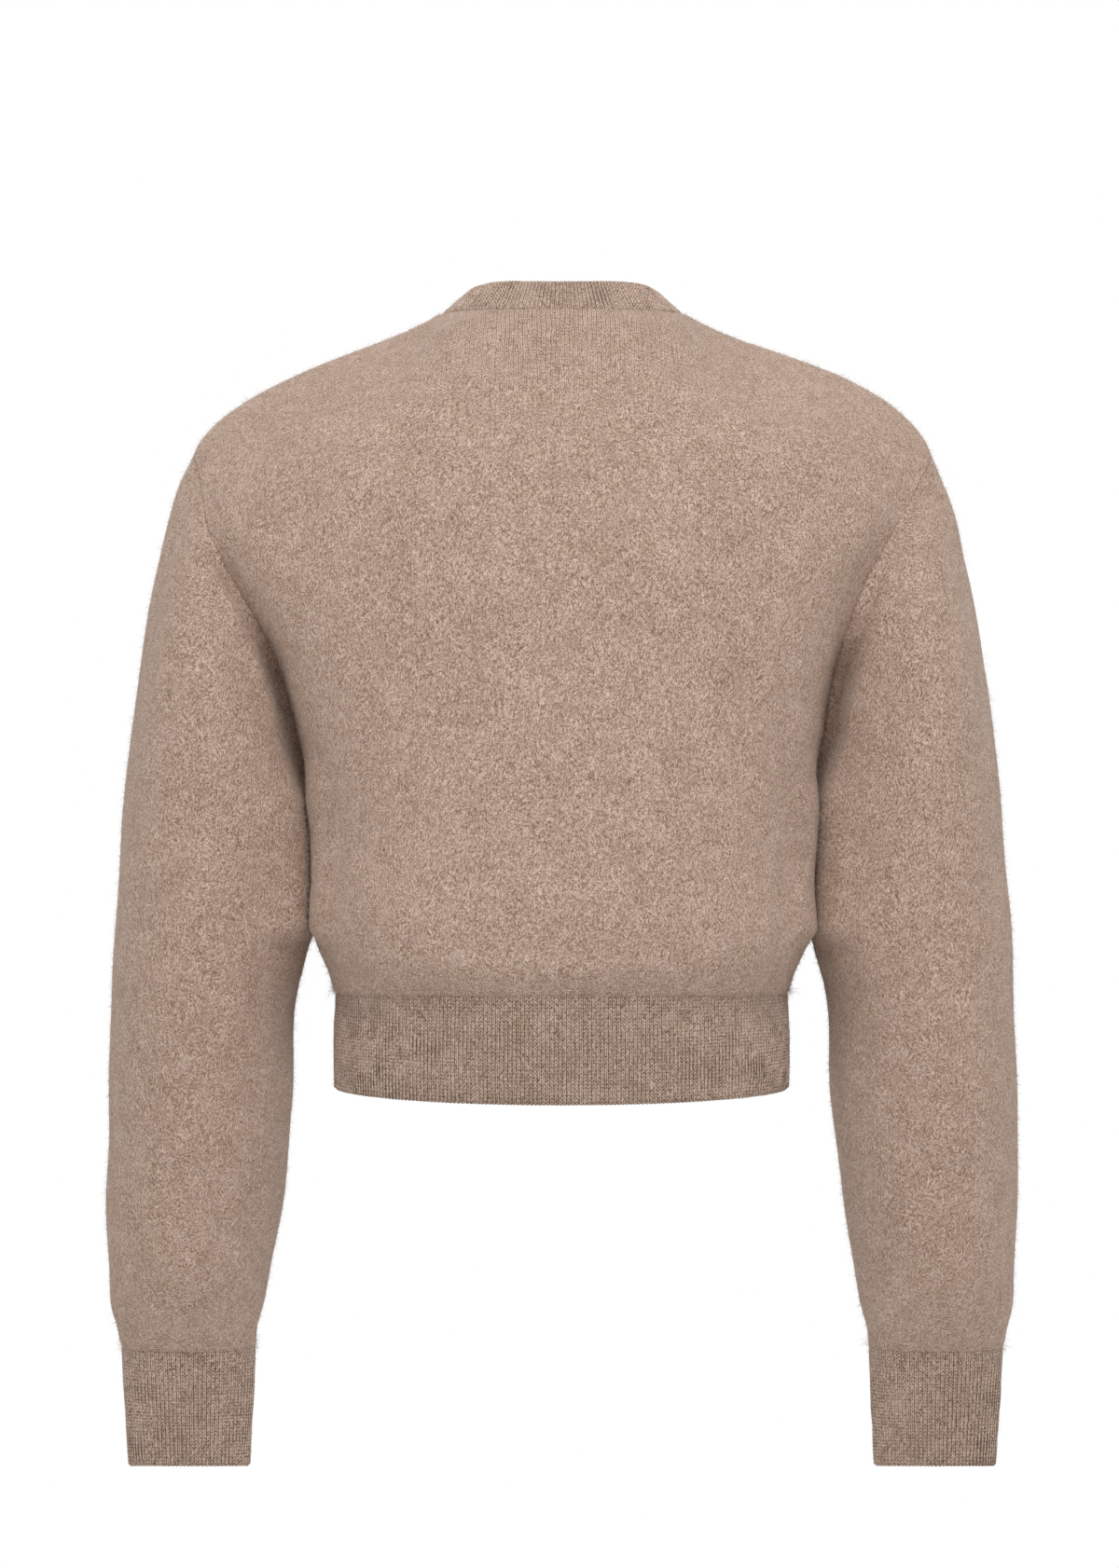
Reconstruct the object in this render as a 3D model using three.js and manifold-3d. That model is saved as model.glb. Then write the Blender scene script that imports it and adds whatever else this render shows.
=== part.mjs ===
/**
 * A cropped knitted cardigan in the hollow form it takes when worn: back, two buttoned fronts,
 * full sleeves, and ribbed hem, cuffs, neckband and button bands.
 *
 * Millimetres. +Z is up, the front faces -Y, and the wearer's left is +X. The origin is where the
 * garment is carried: midway between the two side neck points, on the wearer's shoulders.
 *
 * Every cloth piece is a closed wall, laid out as a grid of rows and columns on its outer face.
 * Pieces stop SEAM short of each other where they are sewn.
 */
import * as THREE from "three";
import { mergeVertices } from "three/addons/utils/BufferGeometryUtils.js";
import Module from "manifold-3d";

const wasm = await Module();
wasm.setup();

const DEG = Math.PI / 180;

// ---- Cloth --------------------------------------------------------------------------------

const JERSEY = 2.0; // wall of the plain knit
const RIB = 2.6; // wall of the ribbing
const SEAM = 0.3; // gap between two pieces that are sewn together
const SQUARENESS = 0.88; // power of sine and cosine in a body section: 1 is an ellipse, less is squarer

// ---- Body panels --------------------------------------------------------------------------

// One line for each section from the hem rib up. midZ and midY are on the centre line, edgeX, edgeY
// and edgeZ on the side seam and then the armhole, turn is how far the section turns from the centre
// to its edge, in degrees, and steps is the number of grid rows up to the next section.
const BACK_SECTIONS = [
  { midZ: -386, edgeZ: -389, edgeX: 133.2, midY: 98, edgeY: 0, turn: 90, steps: 1 }, // rib seam
  { midZ: -374, edgeZ: -376, edgeX: 138.0, midY: 106, edgeY: 0, turn: 90, steps: 2 }, // flare
  { midZ: -350, edgeZ: -356, edgeX: 145.9, midY: 112, edgeY: 0, turn: 90, steps: 3 }, // blouse
  { midZ: -290, edgeZ: -290, edgeX: 146.0, midY: 110, edgeY: 0, turn: 90, steps: 2 }, // underarm
  { midZ: -222, edgeZ: -228, edgeX: 151.0, midY: 108, edgeY: 33, turn: 80, steps: 2 },
  { midZ: -158, edgeZ: -170, edgeX: 171.5, midY: 106, edgeY: 50, turn: 68, steps: 2 },
  { midZ: -100, edgeZ: -124, edgeX: 194.5, midY: 98, edgeY: 45, turn: 62, steps: 2 },
  { midZ: -50, edgeZ: -92, edgeX: 206.5, midY: 84, edgeY: 25, turn: 56, steps: 2 },
];
const FRONT_SECTIONS = [
  { midZ: -386, edgeZ: -389, edgeX: 133.2, midY: -98, edgeY: 0, turn: 90, steps: 1 },
  { midZ: -374, edgeZ: -376, edgeX: 138.0, midY: -105, edgeY: 0, turn: 90, steps: 2 },
  { midZ: -350, edgeZ: -356, edgeX: 145.9, midY: -111, edgeY: 0, turn: 90, steps: 3 },
  { midZ: -290, edgeZ: -290, edgeX: 146.0, midY: -112, edgeY: 0, turn: 90, steps: 2 },
  { midZ: -228, edgeZ: -228, edgeX: 150.0, midY: -113, edgeY: -34, turn: 80, steps: 2 },
  { midZ: -178, edgeZ: -170, edgeX: 168.0, midY: -108, edgeY: -51, turn: 68, steps: 2 },
  { midZ: -138, edgeZ: -124, edgeX: 191.0, midY: -97, edgeY: -46, turn: 62, steps: 2 },
  { midZ: -110, edgeZ: -92, edgeX: 203.5, midY: -84, edgeY: -26, turn: 56, steps: 2 },
];
const UNDERARM = 3; // index of the section where the side seam ends and the armhole begins
const HALF_COLUMNS = 12; // grid columns from the centre line to the side
const NECK_COLUMNS = 5; // how many of them end on the neck seam
const GUIDE_SHARE = 0.6; // share from centre to side of the line that the grid rows are spaced on

// The neck seam and the top of the neckband are rings: x = halfWidth sin a, y runs from the centre
// line (a = 0) to the side (a = 90 degrees) with cos a, and z with cos a to the power NECK_DROP.
const NECK_DROP = 1.2;
const NECK_SEAM = {
  halfWidth: 70,
  side: { y: 0, z: 4 },
  back: { y: 66, z: -1 },
  front: { y: -68, z: -84 },
};
const NECK_TOP = {
  halfWidth: 57,
  side: { y: -2, z: 15 },
  back: { y: 57, z: 17 },
  front: { y: -60, z: -64 },
};

// The cloth's outward direction on the neck seam.
const NECK_OUTWARD = { side: [0.457, 0, 0.889], back: [0, 0.9, 0.43], front: [0, -0.9, 0.43] };

// The shoulder seam is a cubic Bezier in X and Z, from the side neck point to the shoulder tip.
const SHOULDER = [
  [NECK_SEAM.halfWidth, NECK_SEAM.side.z],
  [135, -20.5],
  [203, -48],
  [211.3, -75],
];

// Where the cloth lies just below the top edge, from that edge: the roundness of neck and shoulder.
const RIDGE = {
  back: { mid: [0, 5, -14], neck: [3, 22, -4], tip: [0, 14, -5] },
  front: { mid: [0, -4, -9], neck: [6, -15, -12], tip: [0, -13, -7] },
};
const RIDGE_STEPS = 1;

// ---- Sleeves ------------------------------------------------------------------------------

// One line for each ring below the underarm, from the top down: inner and outer X, half the
// front-to-back size and the middle's Y.
const SLEEVE_RINGS = [
  { z: -318, inX: 147.4, outX: 256.0, halfDepth: 62, midY: 0 },
  { z: -358, inX: 148.0, outX: 259.3, halfDepth: 61, midY: -3 },
  { z: -402, inX: 155.0, outX: 262.4, halfDepth: 59, midY: -8 },
  { z: -455, inX: 157.4, outX: 265.0, halfDepth: 57, midY: -16 },
  { z: -508, inX: 163.2, outX: 266.3, halfDepth: 54, midY: -25 },
  { z: -552, inX: 170.6, outX: 266.0, halfDepth: 48, midY: -32 },
  { z: -578, inX: 175.4, outX: 265.2, halfDepth: 40, midY: -36 },
  { z: -592, inX: 178.4, outX: 262.4, halfDepth: 33, midY: -38 },
  { z: -600, inX: 180.3, outX: 259.4, halfDepth: 27, midY: -39 },
];
const CAP_STEPS = 8; // rings between the armhole and the first of those

// Which way the sleeve leaves the armhole at its top, sides and bottom.
const LEAVE = { top: [0.45, 0, -0.893], side: [0.8, 0.42, -0.42], under: [0.12, 0, -0.99] };
const HANG = [0.08, 0, -0.997]; // which way the cap meets the first ring
const CAP_PULL = 0.95; // length of those directions, as a share of the distance they span

const CUFF = { height: 70, endHalfWidth: 35.5, endHalfDepth: 22.5, endX: 219.8, endY: -44, rows: 2 };
const HEM = { height: 62, endX: 131.4, endY: 96, rows: 3 };
const BAND_ROWS = 2; // grid rows of the neckband

// ---- Button bands and buttons -------------------------------------------------------------

// The over band is on the wearer's right front and the under band on the left. Each is sewn to its
// front along one edge and free along the other.
const OVER = { sewnX: -14.5, freeX: 14.5 };
const UNDER = { sewnX: 15, freeX: -8 };
const OVER_LIFT = RIB + 0.5; // how far the over band stands out, to clear the under band
const LIFT_WIDTH = 4.5; // the width over which it rises from its seam
const BAND_COLUMNS = 5;
const BUTTONHOLE = { length: 17, width: 1.2 };

const BUTTON = { count: 6, radius: 7.5, thick: 3.2, bevel: 0.7, holeRadius: 0.9, holeSpread: 1.8 };
const BUTTON_SIDES = 20;
const HOLE_SIDES = 6;
const TOP_BUTTON_Z = -76;
const LOW_BUTTON_Z = -420;

// ---- Looks --------------------------------------------------------------------------------

const KNIT = new THREE.MeshStandardMaterial({ color: 0xb29989, roughness: 0.95, metalness: 0 });
const RIBBING = new THREE.MeshStandardMaterial({ color: 0x9f8879, roughness: 0.95, metalness: 0 });
const HORN = new THREE.MeshStandardMaterial({ color: 0x8a7361, roughness: 0.35, metalness: 0 });

// ---- Small mathematics --------------------------------------------------------------------

const NECK_SHARE = NECK_COLUMNS / HALF_COLUMNS;

const vec = (x, y, z) => new THREE.Vector3(x, y, z);
const mix = (a, b, t) => a + (b - a) * t;

/** A smooth curve through `points`, one at each of `stops`, read at t. */
function through(stops, points, t) {
  const last = points.length - 1;
  let k = 0;
  while (k < last - 1 && t > stops[k + 1]) k++;
  const slope = (i) => {
    const before = Math.max(i - 1, 0);
    const after = Math.min(i + 1, last);
    return points[after].clone().sub(points[before]).divideScalar(stops[after] - stops[before]);
  };
  const span = stops[k + 1] - stops[k];
  const leave = slope(k).multiplyScalar(span);
  const arrive = slope(k + 1).multiplyScalar(span);
  return hermite(points[k], leave, points[k + 1], arrive, (t - stops[k]) / span);
}

function hermite(from, leave, to, arrive, s) {
  const s2 = s * s;
  const s3 = s2 * s;
  return vec(0, 0, 0)
    .addScaledVector(from, 2 * s3 - 3 * s2 + 1)
    .addScaledVector(leave, s3 - 2 * s2 + s)
    .addScaledVector(to, 3 * s2 - 2 * s3)
    .addScaledVector(arrive, s3 - s2);
}

/** Evenly spaced numbers from a to b, both included. */
const spaced = (a, b, steps) => Array.from({ length: steps + 1 }, (_, i) => mix(a, b, i / steps));

// ---- Walls --------------------------------------------------------------------------------

/** The direction square to a grid at one point, turned to the side that "facing" names in wall. */
function squareTo(grid, j, i, facing, round) {
  const columns = grid[0].length;
  const at = (row, column) => grid[row][round ? (column + columns) % columns : column];
  const [left, right] = round ? [i - 1, i + 1] : [Math.max(i - 1, 0), Math.min(i + 1, columns - 1)];
  const across = at(j, right).clone().sub(at(j, left));
  const up = at(Math.min(j + 1, grid.length - 1), i).clone().sub(at(Math.max(j - 1, 0), i));
  return across.cross(up).multiplyScalar(facing).normalize();
}

/**
 * A closed wall from the grid of its outer face. Seen from outside, columns run to the right and
 * rows up when facing is 1, and the reverse when it is -1. `round` joins the last column to the
 * first. `bend` may change the outward direction at a grid point, so that two pieces share it.
 */
function wall(grid, thickness, { facing = 1, round = false, bend = (n) => n } = {}) {
  const rows = grid.length;
  const columns = grid[0].length;
  const outward = (j, i) => bend(squareTo(grid, j, i, facing, round), j, i).normalize();
  const outer = grid.flat();
  const inner = grid.flatMap((row, j) =>
    row.map((point, i) => point.clone().addScaledVector(outward(j, i), -thickness)),
  );
  const index = [];
  const quad = (a, b, c, d) => {
    if (facing > 0) index.push(a, b, c, a, c, d);
    else index.push(a, c, b, a, d, c);
  };
  const out = (j, i) => j * columns + (i % columns);
  const into = (j, i) => rows * columns + out(j, i);
  const spans = round ? columns : columns - 1;
  for (let i = 0; i < spans; i++) {
    for (let j = 0; j < rows - 1; j++) {
      quad(out(j, i), out(j, i + 1), out(j + 1, i + 1), out(j + 1, i));
      quad(into(j, i + 1), into(j, i), into(j + 1, i), into(j + 1, i + 1));
    }
    quad(into(0, i), into(0, i + 1), out(0, i + 1), out(0, i));
    quad(out(rows - 1, i), out(rows - 1, i + 1), into(rows - 1, i + 1), into(rows - 1, i));
  }
  for (let j = 0; j < rows - 1 && !round; j++) {
    quad(into(j, 0), out(j, 0), out(j + 1, 0), into(j + 1, 0));
    quad(out(j, columns - 1), into(j, columns - 1), into(j + 1, columns - 1), out(j + 1, columns - 1));
  }
  const geometry = new THREE.BufferGeometry().setFromPoints([...outer, ...inner]);
  geometry.setIndex(index);
  geometry.computeVertexNormals();
  return geometry;
}

const mirrored = (grid) => grid.map((row) => row.map((p) => vec(-p.x, p.y, p.z)));

/** A bend written for the wearer's left side, for use on the mirrored grid. */
const mirroredBend = (bend) => (normal, row, column) => {
  const bent = bend(normal.setX(-normal.x), row, column);
  return bent.setX(-bent.x);
};

// ---- Body form ----------------------------------------------------------------------------

/** The point of a section at share w from the line x = startX to its edge. */
function sectionPoint(section, w, startX) {
  const turn = section.turn * DEG;
  const start = Math.asin(Math.sin(turn) * (startX / section.edgeX) ** (1 / SQUARENESS));
  const angle = mix(start, turn, w);
  const across = (Math.sin(angle) / Math.sin(turn)) ** SQUARENESS;
  const edgeCos = Math.max(Math.cos(turn), 0) ** SQUARENESS;
  const depth = (Math.max(Math.cos(angle), 0) ** SQUARENESS - edgeCos) / (1 - edgeCos);
  return vec(
    section.edgeX * across,
    mix(section.edgeY, section.midY, depth),
    mix(section.midZ, section.edgeZ, across ** 2),
  );
}

/** The point of a neck ring at an angle from the centre line of the back or the front. */
function neckPoint(ring, side, angle) {
  const c = Math.max(Math.cos(angle), 0);
  return vec(
    ring.halfWidth * Math.sin(angle),
    mix(ring.side.y, ring[side].y, c),
    mix(ring.side.z, ring[side].z, c ** NECK_DROP),
  );
}

const neckAngle = (ring, x) => Math.asin(x / ring.halfWidth);

function shoulderPoint(t) {
  const b = [(1 - t) ** 3, 3 * t * (1 - t) ** 2, 3 * t ** 2 * (1 - t), t ** 3];
  const [x, z] = [0, 1].map((k) => SHOULDER.reduce((sum, p, i) => sum + b[i] * p[k], 0));
  return vec(x, 0, z);
}

/** The neck and shoulder seam, at share w from the line x = startX to the shoulder tip. */
function topPoint(side, w, startX) {
  if (w > NECK_SHARE) return shoulderPoint((w - NECK_SHARE) / (1 - NECK_SHARE));
  const start = neckAngle(NECK_SEAM, startX);
  return neckPoint(NECK_SEAM, side, mix(start, Math.PI / 2, w / NECK_SHARE));
}

/** The same seam moved down to where the cloth has begun to turn over neck or shoulder. */
function ridgePoint(side, w, startX) {
  const { mid, neck, tip } = RIDGE[side];
  const [from, to, t] =
    w < NECK_SHARE ? [mid, neck, w / NECK_SHARE] : [neck, tip, (w - NECK_SHARE) / (1 - NECK_SHARE)];
  const offset = vec(...from).lerp(vec(...to), t);
  return topPoint(side, w, startX).add(offset);
}

/** A body panel's outer face from its rib seam to its neck and shoulder seams. */
function bodyPanel(side) {
  const sections = side === "back" ? BACK_SECTIONS : FRONT_SECTIONS;
  const column = (w, startX) => [
    ...sections.map((s) => sectionPoint(s, w, startX)),
    ridgePoint(side, w, startX),
    topPoint(side, w, startX),
  ];
  const guide = column(GUIDE_SHARE, 0);
  const stops = [0];
  for (let k = 1; k < guide.length; k++) stops.push(stops[k - 1] + guide[k].distanceTo(guide[k - 1]));
  const steps = [...sections.map((s) => s.steps), RIDGE_STEPS];
  const rows = steps.flatMap((n, k) => spaced(stops[k], stops[k + 1], n).slice(k ? 1 : 0));
  const underarmRow = steps.slice(0, UNDERARM).reduce((a, b) => a + b, 0);
  const point = (w, row, startX) => through(stops, column(w, startX), rows[row]);
  return { point, rows: rows.length, underarmRow };
}

const BACK = bodyPanel("back");
const FRONT = bodyPanel("front");

/** Outward direction on the neck seam, shared by the body and the neckband. */
function neckOutward(side, angle) {
  return vec(...NECK_OUTWARD.side)
    .multiplyScalar(Math.sin(angle))
    .addScaledVector(vec(...NECK_OUTWARD[side]), Math.cos(angle));
}

/** Outward direction at share w of the top row of a body panel. */
function topOutward(side, w, startX) {
  if (w <= NECK_SHARE) {
    return neckOutward(side, mix(neckAngle(NECK_SEAM, startX), Math.PI / 2, w / NECK_SHARE));
  }
  const t = (w - NECK_SHARE) / (1 - NECK_SHARE);
  const along = shoulderPoint(Math.min(t + 0.01, 1)).sub(shoulderPoint(Math.max(t - 0.01, 0)));
  return vec(-along.z, 0, along.x);
}

/** Half of a body panel on the wearer's left, from x = startX to the side. */
function halfPanel(side, startX) {
  const panel = side === "back" ? BACK : FRONT;
  const gapY = side === "back" ? SEAM / 2 : -SEAM / 2;
  const shares = spaced(0, 1, HALF_COLUMNS);
  const onSeam = (w, row) =>
    (w === 1 && row <= panel.underarmRow) || (w >= NECK_SHARE && row === panel.rows - 1);
  const grid = Array.from({ length: panel.rows }, (_, row) =>
    shares.map((w) => {
      const point = panel.point(w, row, startX);
      if (onSeam(w, row)) point.y = gapY;
      return point;
    }),
  );
  const bend = (normal, row, column) => {
    if (row === panel.rows - 1) return topOutward(side, shares[column], startX);
    if (column === HALF_COLUMNS && row <= panel.underarmRow) return normal.setY(0);
    if (column === HALF_COLUMNS) return mitred(normal, armholeIndex(side, row));
    if (column === 0) return normal.setX(0);
    return normal;
  };
  return { grid, bend };
}

/** A half grid and its mirror image, from the wearer's left side across the centre to the right. */
const withMirror = (half) => {
  const other = mirrored(half);
  return half.map((row, j) => [...row.slice().reverse(), ...other[j].slice(1)]);
};

function backGeometry() {
  const { grid, bend } = halfPanel("back", 0);
  const both = (normal, row, column) =>
    column > HALF_COLUMNS
      ? mirroredBend(bend)(normal, row, column - HALF_COLUMNS)
      : bend(normal, row, HALF_COLUMNS - column);
  return wall(withMirror(grid), JERSEY, { bend: both });
}

function frontGeometry(hand) {
  const startX = Math.abs(hand === "left" ? UNDER.sewnX : OVER.sewnX) + SEAM;
  const { grid, bend } = halfPanel("front", startX);
  if (hand === "left") return wall(grid, JERSEY, { bend });
  return wall(mirrored(grid), JERSEY, { facing: -1, bend: mirroredBend(bend) });
}

// ---- Sleeves and cuffs --------------------------------------------------------------------

/** The armhole from the shoulder tip down its back to the underarm and up its front, as points
 * with the body's outward direction at each. */
function armhole() {
  const along = (panel, row, facing) => {
    const point = panel.point(1, row, 0);
    const inward = panel.point(1 - 1 / HALF_COLUMNS, row, 0).sub(point);
    const up = panel.point(1, Math.min(row + 1, panel.rows - 1), 0);
    up.sub(panel.point(1, row - 1, 0));
    return { point, outward: up.cross(inward).multiplyScalar(facing).normalize() };
  };
  const loop = [];
  for (let row = BACK.rows - 1; row >= BACK.underarmRow; row--) loop.push(along(BACK, row, -1));
  for (let row = FRONT.underarmRow + 1; row < FRONT.rows - 1; row++) loop.push(along(FRONT, row, 1));
  loop[0].outward = topOutward("back", 1, 0);
  return loop;
}

/** Where a panel row's edge comes in that loop. */
function armholeIndex(side, row) {
  if (side === "back") return BACK.rows - 1 - row;
  return BACK.rows - 1 - BACK.underarmRow + row - FRONT.underarmRow;
}

/** An outward direction beside the armhole seam, turned to the one that body and sleeve share. They
 * share none near the underarm, where the two walls face each other. */
function mitred(normal, index) {
  const share = THREE.MathUtils.smoothstep(Math.cos(ANGLES[index]), -0.3, 0.3);
  return normal.clone().lerp(MITRES[index], share);
}

/** Angles of the sleeve's grid columns, in proportion to the armhole's length on each side. */
function columnAngles(loop) {
  const half = loop.length / 2;
  const along = [0];
  for (let i = 1; i <= loop.length; i++) {
    along.push(along[i - 1] + loop[i % loop.length].point.distanceTo(loop[i - 1].point));
  }
  return loop.map((_, i) =>
    i <= half
      ? (Math.PI * along[i]) / along[half]
      : Math.PI * (1 + (along[i] - along[half]) / (along[loop.length] - along[half])),
  );
}

/** Which way the sleeve leaves the armhole: angle 0 is the shoulder tip and pi the underarm. */
function leaveDirection(angle) {
  const c = Math.cos(angle);
  const s = Math.sin(angle);
  return vec(0, 0, 0)
    .addScaledVector(vec(...LEAVE.top), Math.max(c, 0) ** 2)
    .addScaledVector(vec(...LEAVE.under), Math.max(-c, 0) ** 2)
    .addScaledVector(vec(LEAVE.side[0], LEAVE.side[1] * Math.sign(s), LEAVE.side[2]), s ** 2);
}

function sleeveRing(ring, angle) {
  const midX = (ring.inX + ring.outX) / 2;
  const halfWidth = (ring.outX - ring.inX) / 2;
  return vec(
    midX + halfWidth * Math.cos(angle),
    ring.midY + ring.halfDepth * Math.sin(angle),
    ring.z,
  );
}

const ARMHOLE = armhole();
const ANGLES = columnAngles(ARMHOLE);
const SLEEVE = sleeveGrid();
const MITRES = ARMHOLE.map(({ outward }, i) => squareTo(SLEEVE, 0, i, -1, true).add(outward).normalize());

/** The left sleeve's outer face, from the armhole down to the cuff seam. */
function sleeveGrid() {
  const columns = ANGLES.map((angle, i) => {
    const leave = leaveDirection(angle).normalize();
    const from = ARMHOLE[i].point.clone().addScaledVector(leave, SEAM);
    from.x += (SEAM * (1 - Math.cos(angle))) / 2;
    const rings = SLEEVE_RINGS.map((ring) => sleeveRing(ring, angle));
    const reach = from.distanceTo(rings[0]) * CAP_PULL;
    const arrive = vec(...HANG).multiplyScalar(reach);
    const cap = spaced(0, 1, CAP_STEPS).map((s) =>
      hermite(from, leave.clone().multiplyScalar(reach), rings[0], arrive, s),
    );
    return [...cap, ...rings.slice(1)];
  });
  return columns[0].map((_, row) => columns.map((column) => column[row]));
}

function cuffGrid() {
  const top = SLEEVE_RINGS.at(-1);
  return spaced(0, 1, CUFF.rows).map((t) => {
    const midX = mix((top.inX + top.outX) / 2, CUFF.endX, t);
    const halfWidth = mix((top.outX - top.inX) / 2, CUFF.endHalfWidth, t);
    const ring = {
      z: top.z - SEAM - t * CUFF.height,
      inX: midX - halfWidth,
      outX: midX + halfWidth,
      halfDepth: mix(top.halfDepth, CUFF.endHalfDepth, t),
      midY: mix(top.midY, CUFF.endY, t),
    };
    return ANGLES.map((angle) => sleeveRing(ring, angle));
  });
}

/** A tube of cloth; `bend` is written for the left hand's. */
function tube(grid, thickness, hand, bend = (n) => n) {
  if (hand === "left") return wall(grid, thickness, { facing: -1, round: true, bend });
  return wall(mirrored(grid), thickness, { facing: 1, round: true, bend: mirroredBend(bend) });
}

// ---- Hem ribs -----------------------------------------------------------------------------

/** The hem's section at share t from the rib seam down to its edge. */
function hemSection(side, t) {
  const top = (side === "back" ? BACK_SECTIONS : FRONT_SECTIONS)[0];
  const drop = SEAM + t * HEM.height;
  return {
    midZ: top.midZ - drop,
    edgeZ: top.edgeZ - drop + t * (top.midZ - top.edgeZ),
    edgeX: mix(top.edgeX, HEM.endX, t),
    midY: mix(top.midY, Math.sign(top.midY) * HEM.endY, t),
    edgeY: top.edgeY,
    turn: top.turn,
  };
}

function hemHalf(side, startX) {
  const gapY = side === "back" ? SEAM / 2 : -SEAM / 2;
  return spaced(1, 0, HEM.rows).map((t) =>
    spaced(0, 1, HALF_COLUMNS).map((w) => {
      const point = sectionPoint(hemSection(side, t), w, startX);
      if (w === 1) point.y += gapY;
      return point;
    }),
  );
}

/** Keeps the wall's two upright edges in the plane of the seam they lie on. */
function hemBend(normal, column, columns) {
  if (column === 0 || column === columns - 1) {
    return Math.abs(normal.x) > Math.abs(normal.y) ? normal.setY(0) : normal.setX(0);
  }
  return normal;
}

function hemGeometry(piece) {
  if (piece === "back") {
    const whole = withMirror(hemHalf("back", 0));
    return wall(whole, RIB, { bend: (n, j, i) => hemBend(n, i, whole[0].length) });
  }
  const startX = Math.abs(piece === "left" ? UNDER.sewnX : OVER.sewnX) + SEAM;
  const half = hemHalf("front", startX);
  const grid = piece === "left" ? half : mirrored(half);
  const facing = piece === "left" ? 1 : -1;
  return wall(grid, RIB, { facing, bend: (n, j, i) => hemBend(n, i, grid[0].length) });
}

// ---- Neckband -----------------------------------------------------------------------------

/** The neckband's outer face, from the left front edge round the back to the right front edge. */
function neckbandGeometry() {
  const sides = [
    ["front", 1, UNDER.sewnX + SEAM, false],
    ["back", 1, 0, true],
    ["back", -1, 0, false],
    ["front", -1, -OVER.sewnX + SEAM, true],
  ];
  const stations = sides.flatMap(([side, hand, startX, inward], k) => {
    const run = spaced(0, 1, NECK_COLUMNS).map((w) => ({ side, hand, startX, w }));
    if (inward) run.reverse();
    return k ? run.slice(1) : run;
  });
  const place = ({ side, hand, startX, w }, ring) => {
    const point = neckPoint(ring, side, mix(neckAngle(ring, startX), Math.PI / 2, w));
    return vec(point.x * hand, point.y, point.z);
  };
  const grid = spaced(0, 1, BAND_ROWS).map((t) =>
    stations.map((station) => {
      const low = place(station, NECK_SEAM);
      const high = place(station, NECK_TOP);
      const gap = SEAM / low.distanceTo(high);
      return low.lerp(high, mix(gap, 1, t));
    }),
  );
  const bend = (normal, row, column) => {
    const { side, hand, startX, w } = stations[column];
    const end = column === 0 || column === stations.length - 1;
    if (end) normal.setX(0);
    if (row > 0) return normal;
    const shared = neckOutward(side, mix(neckAngle(NECK_SEAM, startX), Math.PI / 2, w));
    return shared.setX(end ? 0 : shared.x * hand);
  };
  return wall(grid, RIB, { bend });
}

// ---- Button bands and buttons -------------------------------------------------------------

/** The front's outer face near its centre line at one x, from the hem up to the neckband's top. */
function frontLine(x) {
  const a = Math.abs(x);
  const hand = Math.sign(x) || 1;
  const line = [
    ...spaced(1, 0, HEM.rows).map((t) => sectionPoint(hemSection("front", t), 0, a)),
    ...Array.from({ length: FRONT.rows - 2 }, (_, k) => FRONT.point(0, k + 1, a)),
    ...spaced(0, 1, BAND_ROWS).map((t) =>
      neckPoint(NECK_SEAM, "front", neckAngle(NECK_SEAM, a)).lerp(
        neckPoint(NECK_TOP, "front", neckAngle(NECK_TOP, a)),
        t,
      ),
    ),
  ];
  return line.map((p) => vec(p.x * hand, p.y, p.z));
}

/** Moves a line of points out, square to its run in Y and Z. */
function lifted(line, height) {
  return line.map((point, k) => {
    const along = line[Math.min(k + 1, line.length - 1)].clone().sub(line[Math.max(k - 1, 0)]);
    const outward = vec(0, -along.z, along.y).normalize();
    return point.clone().addScaledVector(outward, height);
  });
}

const overLift = (x) => OVER_LIFT * THREE.MathUtils.smoothstep(x, OVER.sewnX, OVER.sewnX + LIFT_WIDTH);
const overLine = (x) => lifted(frontLine(x), overLift(x));

function bandGeometry(fromX, toX, lineAt) {
  const lines = spaced(fromX, toX, BAND_COLUMNS).map(lineAt);
  const grid = lines[0].map((_, row) => lines.map((line) => line[row]));
  return wall(grid, RIB, { bend: (normal) => normal.setX(0) });
}

/** A regular polygon's corners about (x, y). */
const polygon = (x, y, radius, sides) =>
  Array.from({ length: sides }, (_, i) => {
    const angle = (2 * Math.PI * i) / sides;
    return new THREE.Vector2(x + radius * Math.cos(angle), y + radius * Math.sin(angle));
  });

/** A round button with four sewing holes, its back on z = 0. */
function buttonGeometry() {
  const { radius, thick, bevel, holeRadius, holeSpread } = BUTTON;
  const face = new THREE.Shape(polygon(0, 0, radius - bevel, BUTTON_SIDES));
  for (const [x, y] of [[1, 1], [-1, 1], [-1, -1], [1, -1]]) {
    const hole = polygon(x * holeSpread, y * holeSpread, holeRadius + bevel, HOLE_SIDES);
    face.holes.push(new THREE.Path(hole.reverse()));
  }
  const geometry = new THREE.ExtrudeGeometry(face, {
    depth: thick - 2 * bevel,
    bevelThickness: bevel,
    bevelSize: bevel,
    bevelSegments: 1,
  });
  return geometry.translate(0, 0, bevel);
}

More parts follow.
